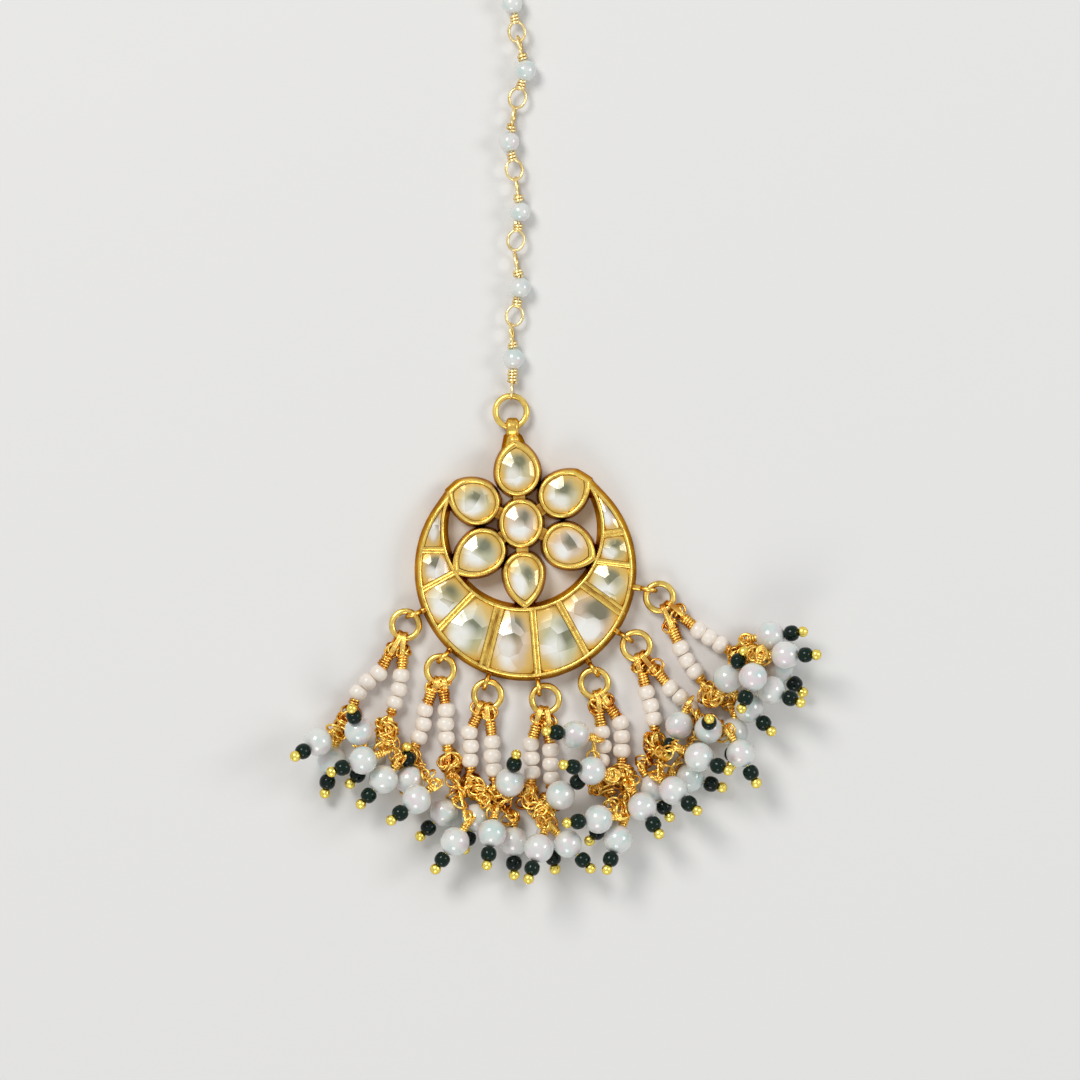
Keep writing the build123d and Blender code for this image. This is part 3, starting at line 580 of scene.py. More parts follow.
strands = [
    # name  ring   first            second           third            knot
    ("1a",  0, (-19.8, -13.9), (-21.3, -15.1), (-22.6, -16.6), (-24.0, -19.9)),
    ("1b",  0, (-16.8, -14.2), (-17.1, -16.1), (-17.7, -17.9), (-18.7, -21.2)),
    ("2a",  1, (-13.6, -18.9), (-13.8, -20.8), (-14.4, -22.6), (-15.7, -25.7)),
    ("2b",  1, (-10.7, -18.9), (-10.8, -20.8), (-10.7, -22.7), (-10.3, -26.1)),
    ("3a",  2, (-7.6, -21.9), (-7.4, -23.8), (-7.5, -25.7), (-7.3, -29.1)),
    ("3b",  2, (-4.5, -23.2), (-4.5, -25.1), (-4.3, -27.0), (-4.1, -30.4)),
    ("4a",  3, (0.7, -23.5), (0.8, -25.4), (0.9, -27.3), (0.5, -30.7)),
    ("4b",  3, (3.4, -24.3), (3.4, -26.2), (3.5, -28.1), (3.3, -31.5)),
    ("5a",  4, (10.3, -21.9), (10.5, -23.8), (10.2, -25.7), (9.9, -29.1)),
    ("5b",  4, (12.8, -20.6), (13.0, -22.5), (13.0, -24.4), (13.0, -27.8)),
    ("6a",  5, (16.3, -16.5), (16.9, -18.3), (17.3, -20.1), (17.7, -23.5)),
    ("6b",  5, (19.5, -15.9), (20.9, -17.2), (22.2, -18.5), (24.3, -21.0)),
    ("7a",  6, (20.9, -10.5), (21.8, -12.2), (22.9, -13.7), (24.9, -16.4)),
    ("7b",  6, (23.3, -8.1), (24.8, -9.1), (26.3, -10.1), (29.2, -11.8)),
]

drops = [
    # strand   x       y     turn  rise
    ("1b",  -20.7,  -25.4,  229,   0),
    ("5b",   11.6,  -33.1,  229,   0),
    ("6a",   17.2,  -29.4,  300,   0),
    ("6b",   22.2,  -28.0,  343,   0),
    ("7b",   34.2,  -13.3,  315,   0),
    ("7a",   28.1,  -21.9,  265,  10),
    ("6b",   28.9,  -24.6,  298,   0),
    ("6b",   20.7,  -20.9,  246,   0),
    ("6b",   24.6,  -21.4,   90,  70),
    ("1a",  -26.1,  -25.7,  258,   0),
    ("1a",  -22.4,  -21.6,  105,  45),
    ("2a",  -15.6,  -28.3,   95,  10),
    ("2b",  -11.0,  -32.7,  225,   0),
    ("2a",  -14.6,  -30.8,  219,  15),
    ("3a",   -6.7,  -33.4,  250,   0),
    ("2b",   -9.5,  -36.5,  235,   0),
    ("4b",    3.2,  -35.9,  280,   0),
    ("3b",   -1.6,  -36.6,  271,   0),
    ("4b",    5.7,  -36.8,  313,   0),
    ("4a",    1.8,  -37.3,  251,  20),
    ("5b",   12.4,  -36.2,  250,  20),
    ("5b",   15.7,  -31.8,  302,  20),
    ("7a",   30.1,  -18.6,  314,  20),
    ("6a",   23.3,  -25.1,  336,  20),
    ("7a",   27.2,  -14.6,   60,  20),
    ("7b",   33.0,   -8.9,    8,  15),
    ("7b",   33.0,  -16.1,  337,  20),
    ("1b",  -19.1,  -28.1,  228,   0),
    ("1a",  -27.9,  -23.1,  212,  40),
    ("1b",  -21.8,  -25.5,  200,  10),
    ("3a",   -4.5,  -35.4,  261,  20),
    ("3b",   -2.1,  -28.6,   77,  30),
    ("4b",    4.7,  -30.3,   38,   0),
    ("5a",    6.7,  -22.2,  171,  30),
    ("5a",    9.8,  -33.4,  186,  20),
    ("5a",    8.9,  -26.9,  167,  30),
    ("6a",   19.9,  -29.6,  320,  25),
    ("7b",   30.5,  -14.3,  250,   0),
    ("7b",   34.9,  -11.4,    1,  25),
]

chainRoute = [
    (-1.9, 23.7),
    (-1.6, 28.5),
    (-1.9, 32.4),
    (-0.7, 38.1),
    (-1.5, 43.1),
    (-0.7, 48.3),
    (-1.3, 52.8),
    (-2.2, 57.8),
    (-1.4, 62.6),
    (0.0, 67.4),
    (-1.1, 72.2),
    (-1.8, 76.4),
    (-1.5, 80.6),
]

beadSizes = {
    "seedRadius": 1.2, "seedLength": 1.8, "seedDrawn": 1.94, "seedHole": 0.3, "seedSquareness": 2.25,
    "darkRadius": 1.1, "darkDrawn": 2.0, "darkHole": 0.27, "darkSquareness": 2.2,
    "pearlRadius": 2.0, "chainPearl": 1.45, "hole": 0.3, "holeSink": 0.15, "boreShare": 0.9,
    "ballRadius": 0.68, "ballDrawn": 0.74, "ballHole": 0.14,
}

layout = {
    "ring": 1.83, "eye": 0.92, "eyeSlack": 0.16, "topCoil": 1.7, "strandHeight": 1.25, "coil": 0.62,
    "thread": 0.22, "darkReach": 2.95, "ballReach": 4.5, "wrapStart": 1.9, "wrapEnd": 3.1,
    "link": 0.25, "knot": 0.9, "knotHeight": 1.4, "tieSlots": 8, "gap": 0.08, "step": 0.1,
    "highest": 9.0, "knotFree": 1.3, "tieFree": 2.8, "sample": 0.45,
}

bends = [
    # share of the way to the knot, rise, on the knot's far side
    (0.5, 0.0, False), (0.5, 0.8, False), (0.8, 0.8, False), (0.5, 1.6, False), (0.8, 1.6, False),
    (0.5, 2.4, False), (0.8, 2.4, False), (0.9, 1.2, True), (0.5, 3.2, False), (0.9, 2.4, True),
    (0.8, 3.2, False), (0.5, 4.0, False), (0.9, 3.6, True), (0.9, 4.8, True),
]


def polar(angle, reach, centre=(0.0, 0.0)):
    turn = math.radians(angle)
    return (centre[0] + reach * math.cos(turn), centre[1] + reach * math.sin(turn))


def heading(start, end):
    run = math.dist(start, end)
    return ((end[0] - start[0]) / run, (end[1] - start[1]) / run)


def stepAlong(start, direction, distance):
    return (start[0] + direction[0] * distance, start[1] + direction[1] * distance)


# The places along a strand, all at one height.
def strandPlaces(row):
    name, ring, first, second, third, knot = row
    angle, reach, swing = fringe[ring]
    centre = polar(swing, layout["ring"], polar(angle, reach))
    down = heading(centre, first)
    out = heading(third, knot)
    seedHalf = beadSizes["seedLength"] / 2
    coilEnd = stepAlong(first, down, -seedHalf)
    coilStart = stepAlong(coilEnd, down, -layout["topCoil"])
    tailEye = stepAlong(knot, out, -layout["eye"])
    return {
        "hook": stepAlong(centre, down, layout["ring"] + layout["eyeSlack"]),
        "eyeEnd": stepAlong(coilStart, down, -layout["eye"]),
        "coilStart": coilStart, "coilEnd": coilEnd, "seeds": [first, second, third],
        "tailStart": stepAlong(third, out, seedHalf), "tailEnd": stepAlong(tailEye, out, -layout["eye"]),
        "tailEye": tailEye, "knot": knot, "out": out,
    }


def samples(start, end, radius):
    count = max(1, math.ceil(math.dist(start, end) / layout["sample"]))
    return [
        (*(start[k] + (end[k] - start[k]) * i / count for k in range(3)), radius)
        for i in range(count + 1)
    ]


def strandBalls(row):
    at = strandPlaces(row)
    level = layout["strandHeight"]
    balls = [(*seed, level, beadSizes["seedRadius"]) for seed in at["seeds"]]
    for start, end in (("coilStart", "coilEnd"), ("tailStart", "tailEnd")):
        balls += samples((*at[start], level), (*at[end], level), layout["coil"])
    for start, end in (("hook", "eyeEnd"), ("tailEnd", "tailEye")):
        for side in (-layout["eye"], layout["eye"]):
            balls += samples((*at[start], level + side), (*at[end], level + side), layout["thread"])
    return balls


# The free place on a knot that is nearest to a direction.
def tieSlot(toward, taken):
    wanted = math.degrees(math.atan2(toward[1], toward[0]))

    def gap(slot):
        return abs((wanted - slot * 360 / layout["tieSlots"] + 180) % 360 - 180)

    return min((slot for slot in range(layout["tieSlots"]) if slot not in taken), key=gap)


# One drop at a given height, and the wire that ties it to its knot.
def dropShape(row, knot, outward, height, bend, taken):
    strand, x, y, turn, rise = row
    share, lift, farSide = bend
    flat = math.cos(math.radians(rise))
    axis = (*polar(turn, flat), math.sin(math.radians(rise)))
    pearl = (x, y, height)

    def onPin(distance):
        return tuple(pearl[k] + axis[k] * distance for k in range(3))

    wrapFar = onPin(-layout["wrapEnd"])
    toward = outward if farSide else heading(knot, wrapFar[:2])
    slot = tieSlot(toward, taken)
    tied = (*polar(slot * 360 / layout["tieSlots"], layout["knot"], knot), layout["knotHeight"])
    over = [wrapFar[k] + (tied[k] - wrapFar[k]) * share for k in range(3)]
    over[2] += lift
    return {
        "axis": axis, "pearl": pearl, "dark": onPin(layout["darkReach"]), "ball": onPin(layout["ballReach"]),
        "wrapNear": onPin(-layout["wrapStart"]), "wrapFar": wrapFar, "bend": tuple(over), "tied": tied,
        "slot": slot,
    }


def dropBalls(at):
    balls = [
        (*at["pearl"], beadSizes["pearlRadius"]),
        (*at["dark"], beadSizes["darkRadius"]),
        (*at["ball"], beadSizes["ballRadius"]),
    ]
    balls += samples(at["wrapNear"], at["wrapFar"], layout["coil"])
    balls += samples(at["wrapFar"], at["bend"], layout["link"])
    return balls


def touches(ball, others):
    x, y, z, radius = ball
    for ox, oy, oz, other in others:
        reach = radius + other + layout["gap"]
        if abs(x - ox) < reach and abs(y - oy) < reach:
            if (x - ox) ** 2 + (y - oy) ** 2 + (z - oz) ** 2 < reach**2:
                return True
    return False


# Lays the drops one by one, each raised until it clears all that was laid before it.
def layDrops():
    knots = {row[0]: row[5] for row in strands}
    outward = {row[0]: heading(row[4], row[5]) for row in strands}
    fixed = {row[0]: strandBalls(row) for row in strands}
    laid = {row[0]: [] for row in strands}
    ends = {row[0]: [] for row in strands}
    placed = {row[0]: [] for row in strands}
    for row in drops:
        name = row[0]
        knot = knots[name]
        blocked = [ball for key in fixed for ball in fixed[key] + laid[key]]
        others = [ball for key in ends if key != name for ball in ends[key]]
        away = [
            ball for key in fixed for ball in fixed[key] if math.dist(ball[:2], knot) > layout["knotFree"]
        ]
        away += [ball for key in laid if key != name for ball in laid[key]]
        away += [ball for ball in laid[name] if math.dist(ball[:2], knot) > layout["tieFree"]]
        taken = [at["slot"] for at in placed[name]]
        found = None
        height = beadSizes["pearlRadius"]
        while found is None and height < layout["highest"]:
            for bend in bends:
                at = dropShape(row, knot, outward[name], height, bend, taken)
                body = dropBalls(at)
                link = samples(at["bend"], at["tied"], layout["link"])
                low = any(ball[2] < ball[3] for ball in body)
                if low or any(touches(ball, blocked + others) for ball in body):
                    continue
                if any(touches(ball, away + others) for ball in link):
                    continue
                found = at
                break
            height += layout["step"]
        placed[name].append(found)
        laid[name] += dropBalls(found)
        ends[name] += samples(found["bend"], found["tied"], layout["link"])
    return placed


placed = layDrops()
print("drops are laid:", sum(len(found) for found in placed.values()))


def startGeometry(name, inputs):
    tree = bpy.data.node_groups.new(name, "GeometryNodeTree")
    tree.interface.new_socket("Geometry", in_out="INPUT", socket_type="NodeSocketGeometry")
    for label, kind in inputs:
        tree.interface.new_socket(label, in_out="INPUT", socket_type=kind)
    tree.interface.new_socket("Geometry", in_out="OUTPUT", socket_type="NodeSocketGeometry")
    return tree, tree.nodes.new("NodeGroupInput"), tree.nodes.new("NodeGroupOutput")


def endGeometry(tree, last, start, end):
    real = addNode(tree, "GeometryNodeRealizeInstances")
    smooth = addNode(tree, "GeometryNodeSetShadeSmooth")
    paint = addNode(tree, "GeometryNodeSetMaterial")
    tree.links.new(last, real.inputs["Geometry"])
    tree.links.new(real.outputs["Geometry"], smooth.inputs["Geometry"])
    tree.links.new(smooth.outputs["Geometry"], paint.inputs["Geometry"])
    tree.links.new(start.outputs["Material"], paint.inputs["Material"])
    tree.links.new(paint.outputs["Geometry"], end.inputs[0])


# Round wire along every line of a curve object.
def makeWireTree():
    tree, start, end = startGeometry("wire", [
        ("Wire Radius", "NodeSocketFloat"), ("Sides", "NodeSocketInt"), ("Material", "NodeSocketMaterial"),
    ])
    circle = addNode(tree, "GeometryNodeCurvePrimitiveCircle")
    sweep = addNode(tree, "GeometryNodeCurveToMesh")
    sweep.inputs["Fill Caps"].default_value = True
    tree.links.new(start.outputs["Sides"], circle.inputs["Resolution"])
    tree.links.new(start.outputs["Wire Radius"], circle.inputs["Radius"])
    tree.links.new(start.outputs["Geometry"], sweep.inputs["Curve"])
    tree.links.new(circle.outputs["Curve"], sweep.inputs["Profile Curve"])
    endGeometry(tree, sweep.outputs["Mesh"], start, end)
    return tree


# A bead on every point, threaded along the point's own axis. Each is turned
# about it by chance, and no two are quite the same size.
def makeBeadTree():
    tree, start, end = startGeometry("beads", [
        ("Bead", "NodeSocketObject"), ("Unevenness", "NodeSocketFloat"), ("Seed", "NodeSocketInt"),
        ("Material", "NodeSocketMaterial"),
    ])
    points = addNode(tree, "GeometryNodeMeshToPoints")
    bead = addNode(tree, "GeometryNodeObjectInfo")
    axis = addNode(tree, "GeometryNodeInputNamedAttribute", data_type="FLOAT_VECTOR")
    axis.inputs["Name"].default_value = "axis"
    twist = addNode(tree, "FunctionNodeRandomValue", data_type="FLOAT")
    twist.inputs[3].default_value = 2 * math.pi
    size = addNode(tree, "FunctionNodeRandomValue", data_type="FLOAT")
    small = addMath(tree, "SUBTRACT", 1.0, start.outputs["Unevenness"])
    tree.links.new(small, size.inputs[2])
    size.inputs[3].default_value = 1.0
    euler = addNode(tree, "ShaderNodeCombineXYZ")
    turn = addNode(tree, "FunctionNodeEulerToRotation")
    align = addNode(tree, "FunctionNodeAlignRotationToVector", axis="Z")
    spread = addNode(tree, "GeometryNodeInstanceOnPoints")
    tree.links.new(start.outputs["Geometry"], points.inputs["Mesh"])
    tree.links.new(start.outputs["Bead"], bead.inputs["Object"])
    tree.links.new(start.outputs["Seed"], twist.inputs["Seed"])
    tree.links.new(start.outputs["Seed"], size.inputs["Seed"])
    tree.links.new(twist.outputs[1], euler.inputs["Z"])
    tree.links.new(euler.outputs["Vector"], turn.inputs["Euler"])
    tree.links.new(turn.outputs["Rotation"], align.inputs["Rotation"])
    tree.links.new(axis.outputs["Attribute"], align.inputs["Vector"])
    tree.links.new(points.outputs["Points"], spread.inputs["Points"])
    tree.links.new(bead.outputs["Geometry"], spread.inputs["Instance"])
    tree.links.new(align.outputs["Rotation"], spread.inputs["Rotation"])
    tree.links.new(size.outputs[1], spread.inputs["Scale"])
    endGeometry(tree, spread.outputs["Instances"], start, end)
    return tree


wireTree = makeWireTree()
beadTree = makeBeadTree()


# Runs a tree on an object and returns the result as a plain piece.
def growPiece(name, source, tree, values):
    bpy.context.scene.collection.objects.link(source)
    modifier = source.modifiers.new("grow", "NODES")
    modifier.node_group = tree
    for item in tree.interface.items_tree:
        if item.in_out == "INPUT" and item.name in values:
            modifier[item.identifier] = values[item.name]
    graph = bpy.context.evaluated_depsgraph_get()
    mesh = bpy.data.meshes.new_from_object(source.evaluated_get(graph))
    source.modifiers.remove(modifier)
    bpy.data.objects.remove(source)
    mesh.name = name
    piece = bpy.data.objects.new(name, mesh)
    bpy.context.scene.collection.objects.link(piece)
    return piece


# Lines are (points in millimetres, closed or not).
def growWire(name, lines, radius, material, sides=8):
    data = bpy.data.curves.new(name + "Line", "CURVE")
    data.dimensions = "3D"
    for points, closed in lines:
        spline = data.splines.new("POLY")
        spline.points.add(len(points) - 1)
        for point, place in zip(spline.points, points):
            point.co = (place[0] * mm, place[1] * mm, place[2] * mm, 1.0)
        spline.use_cyclic_u = closed
    source = bpy.data.objects.new(name + "Line", data)
    values = {"Wire Radius": radius * mm, "Sides": sides, "Material": materials[material]}
    return growPiece(name, source, wireTree, values)


# Places are (centre in millimetres, axis).
def growBeads(name, places, bead, unevenness, seed, material):
    mesh = bpy.data.meshes.new(name + "Points")
    mesh.from_pydata([tuple(c * mm for c in centre) for centre, axis in places], [], [])
    attribute = mesh.attributes.new("axis", "FLOAT_VECTOR", "POINT")
    for item, (centre, axis) in zip(attribute.data, places):
        item.vector = axis
    source = bpy.data.objects.new(name + "Points", mesh)
    values = {"Bead": bead, "Unevenness": unevenness, "Seed": seed, "Material": materials[material]}
    return growPiece(name, source, beadTree, values)


# A bead turned from a closed outline of (radius, height) points.
def turnBead(name, outline, sides):
    points, faces = [], []
    rows = len(outline)
    for side in range(sides):
        angle = 2 * math.pi * side / sides
        for radius, height in outline:
            points.append((radius * math.cos(angle) * mm, radius * math.sin(angle) * mm, height * mm))
    for side in range(sides):
        after = (side + 1) % sides
        for row in range(rows):
            up = (row + 1) % rows
            faces.append((side * rows + row, after * rows + row, after * rows + up, side * rows + up))
    mesh = bpy.data.meshes.new(name)
    mesh.from_pydata(points, [], faces)
    bead = bpy.data.objects.new(name, mesh)
    bpy.context.scene.collection.objects.link(bead)
    return bead


# A rounded bead with a hole: a half oval from one end of the hole to the other.
def barrelOutline(radius, length, hole, squareness, rows):
    outline = []
    for row in range(rows):
        angle = math.pi * (row / (rows - 1) - 0.5)
        c, s = abs(math.cos(angle)), math.sin(angle)
        outline.append((
            hole + (radius - hole) * c ** (2 / squareness),
            length / 2 * math.copysign(abs(s) ** (2 / squareness), s),
        ))
    return outline


# A ball with a hole through it.
def ballOutline(radius, hole, rows):
    edge = math.asin(hole / radius)
    outline = []
    for row in range(rows):
        angle = edge + (math.pi - 2 * edge) * row / (rows - 1)
        outline.append((radius * math.sin(angle), -radius * math.cos(angle)))
    top = outline[-1][1] - beadSizes["holeSink"]
    bore = hole * beadSizes["boreShare"]
    return outline + [(bore, top), (bore, -top)]


def ballBead(name, radius, hole, rows, sides):
    return turnBead(name, ballOutline(radius, hole, rows), sides)


def barrelBead(name, kind, rows, sides):
    outline = barrelOutline(beadSizes[kind + "Radius"], beadSizes[kind + "Drawn"], beadSizes[kind + "Hole"],
                            beadSizes[kind + "Squareness"], rows)
    return turnBead(name, outline, sides)


beadShapes = {
    "pearl": ballBead("pearlShape", beadSizes["pearlRadius"], beadSizes["hole"], rows=20, sides=32),
    "chainPearl": ballBead("chainPearlShape", beadSizes["chainPearl"], beadSizes["hole"], rows=18, sides=28),
    "seed": barrelBead("seedShape", "seed", rows=16, sides=24),
    "dark": barrelBead("darkShape", "dark", rows=16, sides=24),
    "ball": ballBead("ballShape", beadSizes["ballDrawn"], beadSizes["ballHole"], rows=12, sides=18),
}


# From here on, places and wire lines are in millimetres.
def vector(place, height=None):
    return Vector((*place, height)) if height is not None else Vector(place)


wireForming = {
    "fewestTurns": 1.5, "swell": (0.9, 1.1), "shortest": 0.01, "hairline": 0.02,
    "bowPull": 1.6, "bowShare": 0.3,
}


# A coil round a straight line, with hand-wound unevenness.
def coilPath(start, end, radius, pitch, dice, perTurn=12):
    axis = (end - start).normalized()
    side = axis.orthogonal().normalized()
    other = axis.cross(side)
    length = (end - start).length
    turns = max(wireForming["fewestTurns"], length / pitch)
    count = int(turns * perTurn)
    phase = dice.uniform(0, 2 * math.pi)
    points = []
    swell = 1.0
    for index in range(count + 1):
        if index % perTurn == 0:
            swell = dice.uniform(*wireForming["swell"])
        share = index / count
        angle = phase + 2 * math.pi * turns * share
        place = start + axis * (length * share)
        points.append(place + (side * math.cos(angle) + other * math.sin(angle)) * radius * swell)
    return points


# A wire loop of one or more turns: long when its two ends are apart. The side
# direction is the loop's own axis, and each turn steps along it.
def loopPath(near, far, radius, side, spread, turns, perTurn=28):
    apart = (far - near).length > wireForming["shortest"]
    along = (far - near).normalized() if apart else side.orthogonal().normalized()
    up = side.cross(along).normalized()
    count = int(perTurn * turns)
    points = []
    for index in range(count + 1):
        angle = math.pi + 2 * math.pi * turns * index / count
        base = far if math.cos(angle) > 0 else near
        shift = spread * (index / count - 0.5)
        points.append(base + (along * math.cos(angle) + up * math.sin(angle)) * radius + side * shift)
    return points


# A smooth curve that passes close to a bend.
def bowPath(start, bend, end, count=14):
    middle = bend * wireForming["bowPull"] - (start + end) * wireForming["bowShare"]
    points = []
    for index in range(count + 1):
        t = index / count
        points.append(start * (1 - t) ** 2 + middle * 2 * t * (1 - t) + end * t**2)
    return points


# Two wires twisted round one path.
def twistedPair(path, radius, pitch, phase):
    lines = [[], []]
    run = 0.0
    for index, place in enumerate(path):
        before = path[max(0, index - 1)]
        after = path[min(len(path) - 1, index + 1)]
        run += (place - before).length
        axis = (after - before).normalized()
        side = axis.orthogonal().normalized()
        other = axis.cross(side)
        for number in (0, 1):
            angle = phase + 2 * math.pi * run / pitch + math.pi * number
            lines[number].append(place + (side * math.cos(angle) + other * math.sin(angle)) * radius)
    return [(line, False) for line in lines]


def finishPiece(piece, slot, *nodes):
    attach(piece, "root")
    if nodes:
        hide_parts(*nodes)


rimSettings = {"wire": 0.25, "thin": 0.21, "sink": 0.06, "perCrescent": 120, "perOval": 48}


def teardropPoints(half, tip, count=16):
    radius = (tip**2 + half**2) / (2 * half)
    sweep = math.asin(tip / radius)
    points = []
    for index in range(2 * count + 1):
        angle = math.pi / 2 + math.pi * index / (2 * count)
        points.append((half * math.cos(angle), half * math.sin(angle)))
    for index in range(1, count + 1):
        angle = -math.pi / 2 + sweep * index / count
        points.append((radius * math.cos(angle), radius - half + radius * math.sin(angle)))
    for index in range(1, count):
        angle = math.pi / 2 - sweep * (1 - index / count)
        points.append((radius * math.cos(angle), half - radius + radius * math.sin(angle)))
    return points


def addRims():
    level = crescent["height"] - rimSettings["sink"]
    lines = []
    wall = flower["wall"]
    farthest = crescent["rim"] + flower["shoulderOut"] - rimSettings["wire"]
    for number, (turn, reach, half, tip) in enumerate(petals):
        centre = polar(turn, reach, flower["centre"])
        spin = math.radians(turn)
        points = []
        for x, y in teardropPoints(half + wall / 2, tip + flower["tipWall"] / 2):
            place = Vector((
                centre[0] + x * math.cos(spin) - y * math.sin(spin),
                centre[1] + x * math.sin(spin) + y * math.cos(spin),
            ))
            if number > 0:  # all but the top petal end at the crescent's outer wall
                place *= min(1.0, farthest / place.length)
            points.append(vector(place, level))
        lines.append((points, True))
    oval = []
    for index in range(rimSettings["perOval"]):
        angle = 2 * math.pi * index / rimSettings["perOval"]
        oval.append(Vector((
            flower["centre"][0] + (flower["ovalHalfWidth"] + wall / 2) * math.cos(angle),
            flower["centre"][1] + (flower["ovalHalfLength"] + wall / 2) * math.sin(angle), level,
        )))
    lines.append((oval, True))
    outerRadius = (crescent["rim"] + crescent["pocket"]) / 2
    innerRadius = (crescent["hollowRim"] + crescent["hollowPocket"]) / 2
    gap = math.dist(crescent["hollowCentre"], (0, 0))
    toHollow = math.degrees(math.atan2(crescent["hollowCentre"][1], crescent["hollowCentre"][0]))
    # the tips are where the two rim circles cross
    share = (outerRadius**2 + gap**2 - innerRadius**2) / (2 * outerRadius * gap)
    opening = math.degrees(math.acos(max(-1.0, min(1.0, share))))
    innerShare = (outerRadius**2 - gap**2 - innerRadius**2) / (2 * innerRadius * gap)
    innerOpening = math.degrees(math.acos(max(-1.0, min(1.0, innerShare))))
    arcs = [
        ((0.0, 0.0), outerRadius, toHollow + opening, toHollow + 360 - opening),
        (crescent["hollowCentre"], innerRadius, toHollow + innerOpening, toHollow + 360 - innerOpening),
    ]
    for centre, radius, first, last in arcs:
        count = rimSettings["perCrescent"]
        points = []
        for index in range(count + 1):
            place = polar(first + (last - first) * index / count, radius, centre)
            points.append(vector(place, level))
        lines.append((points, False))
    rims = growWire("bezelRims", lines, rimSettings["wire"], "rimGold")
    finishPiece(rims, "gold")
    bars = []
    for outer, inner, width in dividers:
        outside = vector(polar(outer, outerRadius), level)
        inside = vector(polar(inner, innerRadius, crescent["hollowCentre"]), level)
        across = (outside - inside).cross(Vector((0, 0, 1))).normalized()
        for side in (-1, 1):
            shift = across * side * (width / 2 - rimSettings["thin"])
            bars.append(([inside + shift, outside + shift], False))
    walls = growWire("cellRims", bars, rimSettings["thin"], "rimGold")
    finishPiece(walls, "gold")


addRims()
print("bezel rims are soldered on")


clusterWork = {
    "wire": 0.17, "coilRadius": 0.44, "coilPitch": 0.35, "twist": 0.19, "twistPitch": 1.5,
    "knotLoops": 13, "knotRadius": (0.75, 1.30), "knotDrift": 0.85,
    "eyeRadius": (0.66, 0.90), "eyeTurns": 2.2, "eyeSpread": 0.6, "eyeTilt": 1.2,
    "tangle": (0.15, 0.38, 0.62, 0.85), "tangleRadius": (0.65, 1.10), "tangleDrift": 0.5,
    "topLoops": 5, "topRadius": (0.55, 0.95), "topDrift": 0.5,
    "unevenness": 0.05, "pin": 0.2, "clear": 0.06, "perTurn": 22, "looseTurns": 1.15,
    "looseSpread": (0.2, 0.6), "looseLift": 0.2, "bowStart": 0.3, "eyeBack": 0.2, "pinInside": 1.0,
    "phase": 6,
}


# Beads that loose wire has to go round, as (centre, radius).
beadBalls = []
for row in strands:
    for seed in strandPlaces(row)["seeds"]:
        beadBalls.append((vector(seed, layout["strandHeight"]), beadSizes["seedRadius"]))
    for at in placed[row[0]]:
        beadBalls.append((Vector(at["pearl"]), beadSizes["pearlRadius"]))
        beadBalls.append((Vector(at["dark"]), beadSizes["darkRadius"]))


def pushClear(points):
    middle = sum(points, Vector()) / len(points)
    reach = max((point - middle).length for point in points) + clusterWork["wire"] + clusterWork["clear"]
    near = [(centre, radius) for centre, radius in beadBalls if (centre - middle).length < radius + reach]
    cleared = []
    for point in points:
        for centre, radius in near:
            away = point - centre
            stand = radius + clusterWork["wire"] + clusterWork["clear"]
            if 0 < away.length < stand:
                point = centre + away.normalized() * stand
        cleared.append(Vector((point.x, point.y, max(point.z, clusterWork["wire"]))))
    return cleared


# A loose turn of wire that faces any way, round the beads and above the floor.
def tangleLoop(centre, radius, drift, dice):
    middle = centre + Vector([dice.uniform(-drift, drift) for k in range(3)])
    side = Vector((dice.uniform(-1, 1), dice.uniform(-1, 1), dice.uniform(clusterWork["looseLift"], 1)))
    side.normalize()
    end = middle + side.orthogonal().normalized() * wireForming["hairline"]
    spread = dice.uniform(*clusterWork["looseSpread"])
    turns, perTurn = clusterWork["looseTurns"], clusterWork["perTurn"]
    return pushClear(loopPath(middle, end, radius, side, spread, turns, perTurn))


strandWork = {
    "wire": 0.17, "coilPitch": 0.37, "layers": (0.42, 0.64), "tailLayers": (0.42, 0.58),
    "loopSpread": 0.62, "loopTurns": 3.0, "tilt": 0.35, "unevenness": 0.05,
}


